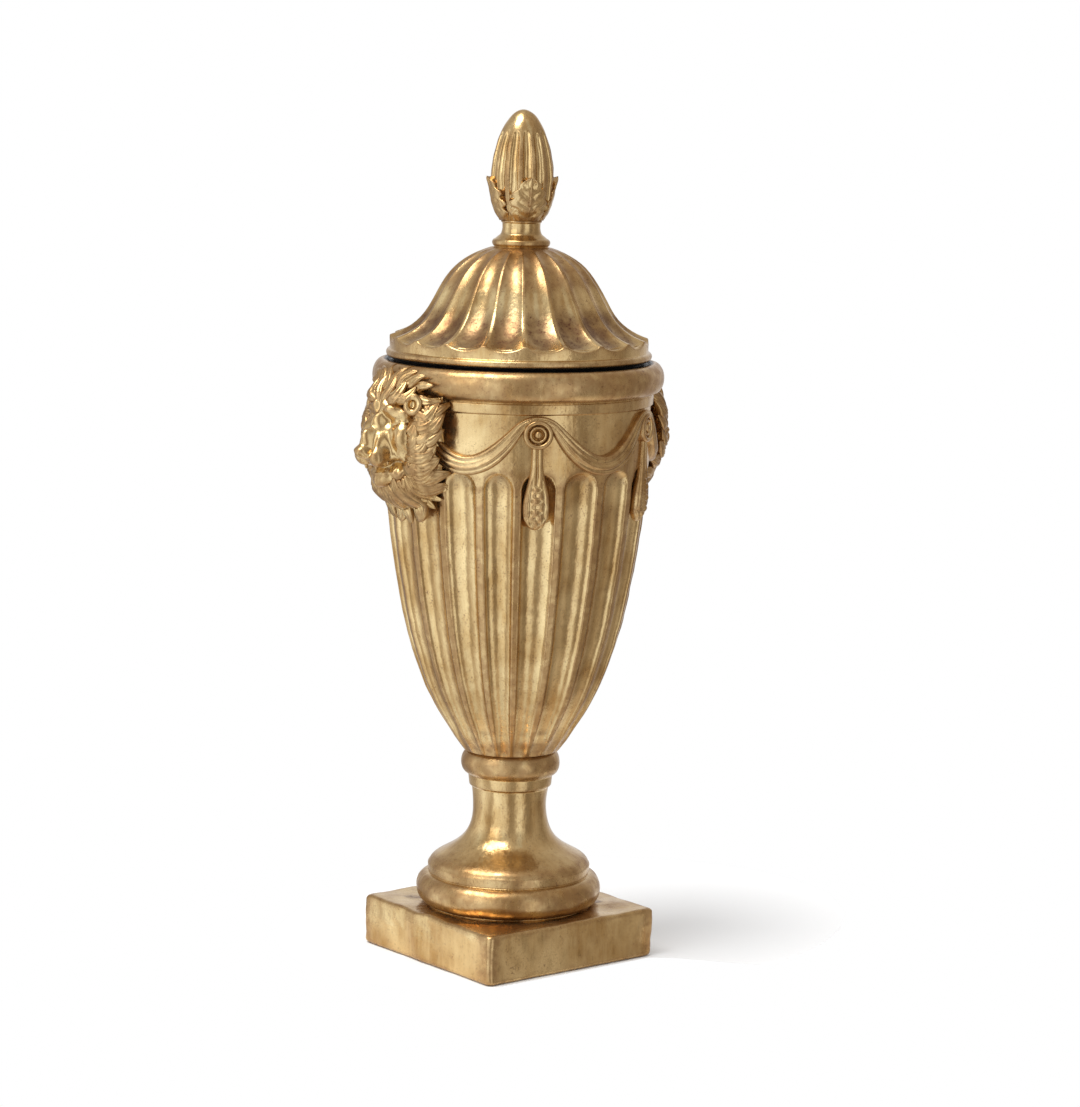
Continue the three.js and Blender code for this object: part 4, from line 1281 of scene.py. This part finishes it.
# %% The room
# Degrees from the camera towards its left, then how bright the room is there.
ROOM = [(-180, 0.90), (-140, 0.62), (-112, 0.34), (-94, 0.42), (-78, 0.56), (-66, 0.34), (-52, 0.30),
        (-42, 1.20), (-26, 1.30), (-17, 0.44), (0, 0.38), (12, 1.20), (34, 1.45), (52, 1.60),
        (62, 0.56), (76, 0.90), (96, 1.45), (112, 0.85), (128, 0.50), (150, 0.50), (180, 0.90)]
BRIGHTEST = 1.6
CEILING = 0.60
FROM_BELOW = 0.95
ON_FLOOR = 0.76
BACKDROP = 1.0
DARK_TONE = (1.05, 0.92, 0.80, 1)
BRIGHT_TONE = (1.0, 1.11, 1.26, 1)

world = bpy.data.worlds.new("white studio")
world.use_nodes = True
bpy.context.scene.world = world
tree = world.node_tree
tree.nodes.clear()
rays = node(tree, "LightPath").outputs
way = node(tree, "TexCoord").outputs["Generated"]
left, front = (
    node(tree, "VectorMath", [way, ahead], operation="DOT_PRODUCT").outputs[1]
    for ahead in (from_camera(-1, 0, 0), from_camera(0, 0, 1))
)
about = node(tree, "Math", [left, front], operation="ARCTAN2")
bands = node(tree, "ValToRGB", [node(tree, "MapRange", [about, -math.pi, math.pi, 0, 1])])
stops = bands.color_ramp.elements
while len(stops) < len(ROOM):
    stops.new(0.5)
for stop, (degrees, bright) in zip(stops, ROOM):
    stop.position = degrees / 360 + 0.5
    stop.color = (bright / BRIGHTEST, bright / BRIGHTEST, bright / BRIGHTEST, 1)

# The bands get weaker towards the top, and each of the lights after them is laid over the ones
# before it by a share.
rise = node(tree, "SeparateXYZ", [way]).outputs[2]
level = node(tree, "Math", [
    node(tree, "MapRange", [rise, 0.25, 0.95, 1.5, 0.95]),
    node(tree, "MapRange", [rise, -0.85, -0.10, 0.98, 1.05]),
], operation="MULTIPLY")
strength = node(tree, "Math", [bands, level], operation="MULTIPLY")
for share, bright in (
    (node(tree, "MapRange", [rise, 0.30, 0.80, 0, 0.75]), CEILING),
    (node(tree, "MapRange", [rise, -0.55, -0.90, 0, 1]), FROM_BELOW),
    (rays["Is Diffuse Ray"], ON_FLOOR),
    (rays["Is Camera Ray"], BACKDROP),
):
    strength = node(tree, "Mix", {0: share, 2: strength, 3: bright}, data_type="FLOAT")
plain = node(tree, "Math", [rays["Is Camera Ray"], rays["Is Diffuse Ray"]], operation="MAXIMUM")
tone = DARK_TONE
for share, other in (
    (node(tree, "MapRange", [bands, 0.18, 0.85, 0, 1]), BRIGHT_TONE),
    (plain, (1, 1, 1, 1)),
):
    tone = node(tree, "Mix", {0: share, 6: tone, 7: other}, data_type="RGBA").outputs[2]
sky = node(tree, "Background", {"Color": tone, "Strength": strength})
node(tree, "OutputWorld", [sky])
bpy.context.scene.view_settings.view_transform = "Standard"
print("the room has", len(ROOM), "bands")

# %% [markdown]
# ## The floor
# A sheet of white paper, as a studio lays it under a small object. Here it is an oval that takes
# the urn's shadow. It ends just in front of the plinth, whose front face would mirror a larger
# one and turn too bright. Beside the plinth its edge slopes away, so that the shadow isn't cut.

# %% The floor
FLOOR_MIDDLE = (0.07, 0.03)
FLOOR_HALF = (0.19, 0.15)
FLOOR_FRONT = -0.064
PLINTH_END = 0.062
FLOOR_SLOPE = 1.3

turn = np.arange(96) * TURN / 96
x = FLOOR_MIDDLE[0] + FLOOR_HALF[0] * np.cos(turn)
y = FLOOR_MIDDLE[1] + FLOOR_HALF[1] * np.sin(turn)
y = np.maximum(y, FLOOR_FRONT - FLOOR_SLOPE * np.maximum(x - PLINTH_END, 0))
sheet = bpy.data.meshes.new("floor")
sheet.from_pydata(np.stack([x, y, 0 * x], 1).tolist(), [], [list(range(96))])
floor = bpy.data.objects.new("floor", sheet)
bpy.context.scene.collection.objects.link(floor)
paper = bpy.data.materials.new("white paper")
paper.use_nodes = True
coat = paper.node_tree.nodes["Principled BSDF"].inputs
coat["Base Color"].default_value = linear("#F6F6F6")
coat["Roughness"].default_value = 0.9
sheet.materials.append(paper)
print("the floor is", round(np.ptp(x), 2), "m wide")
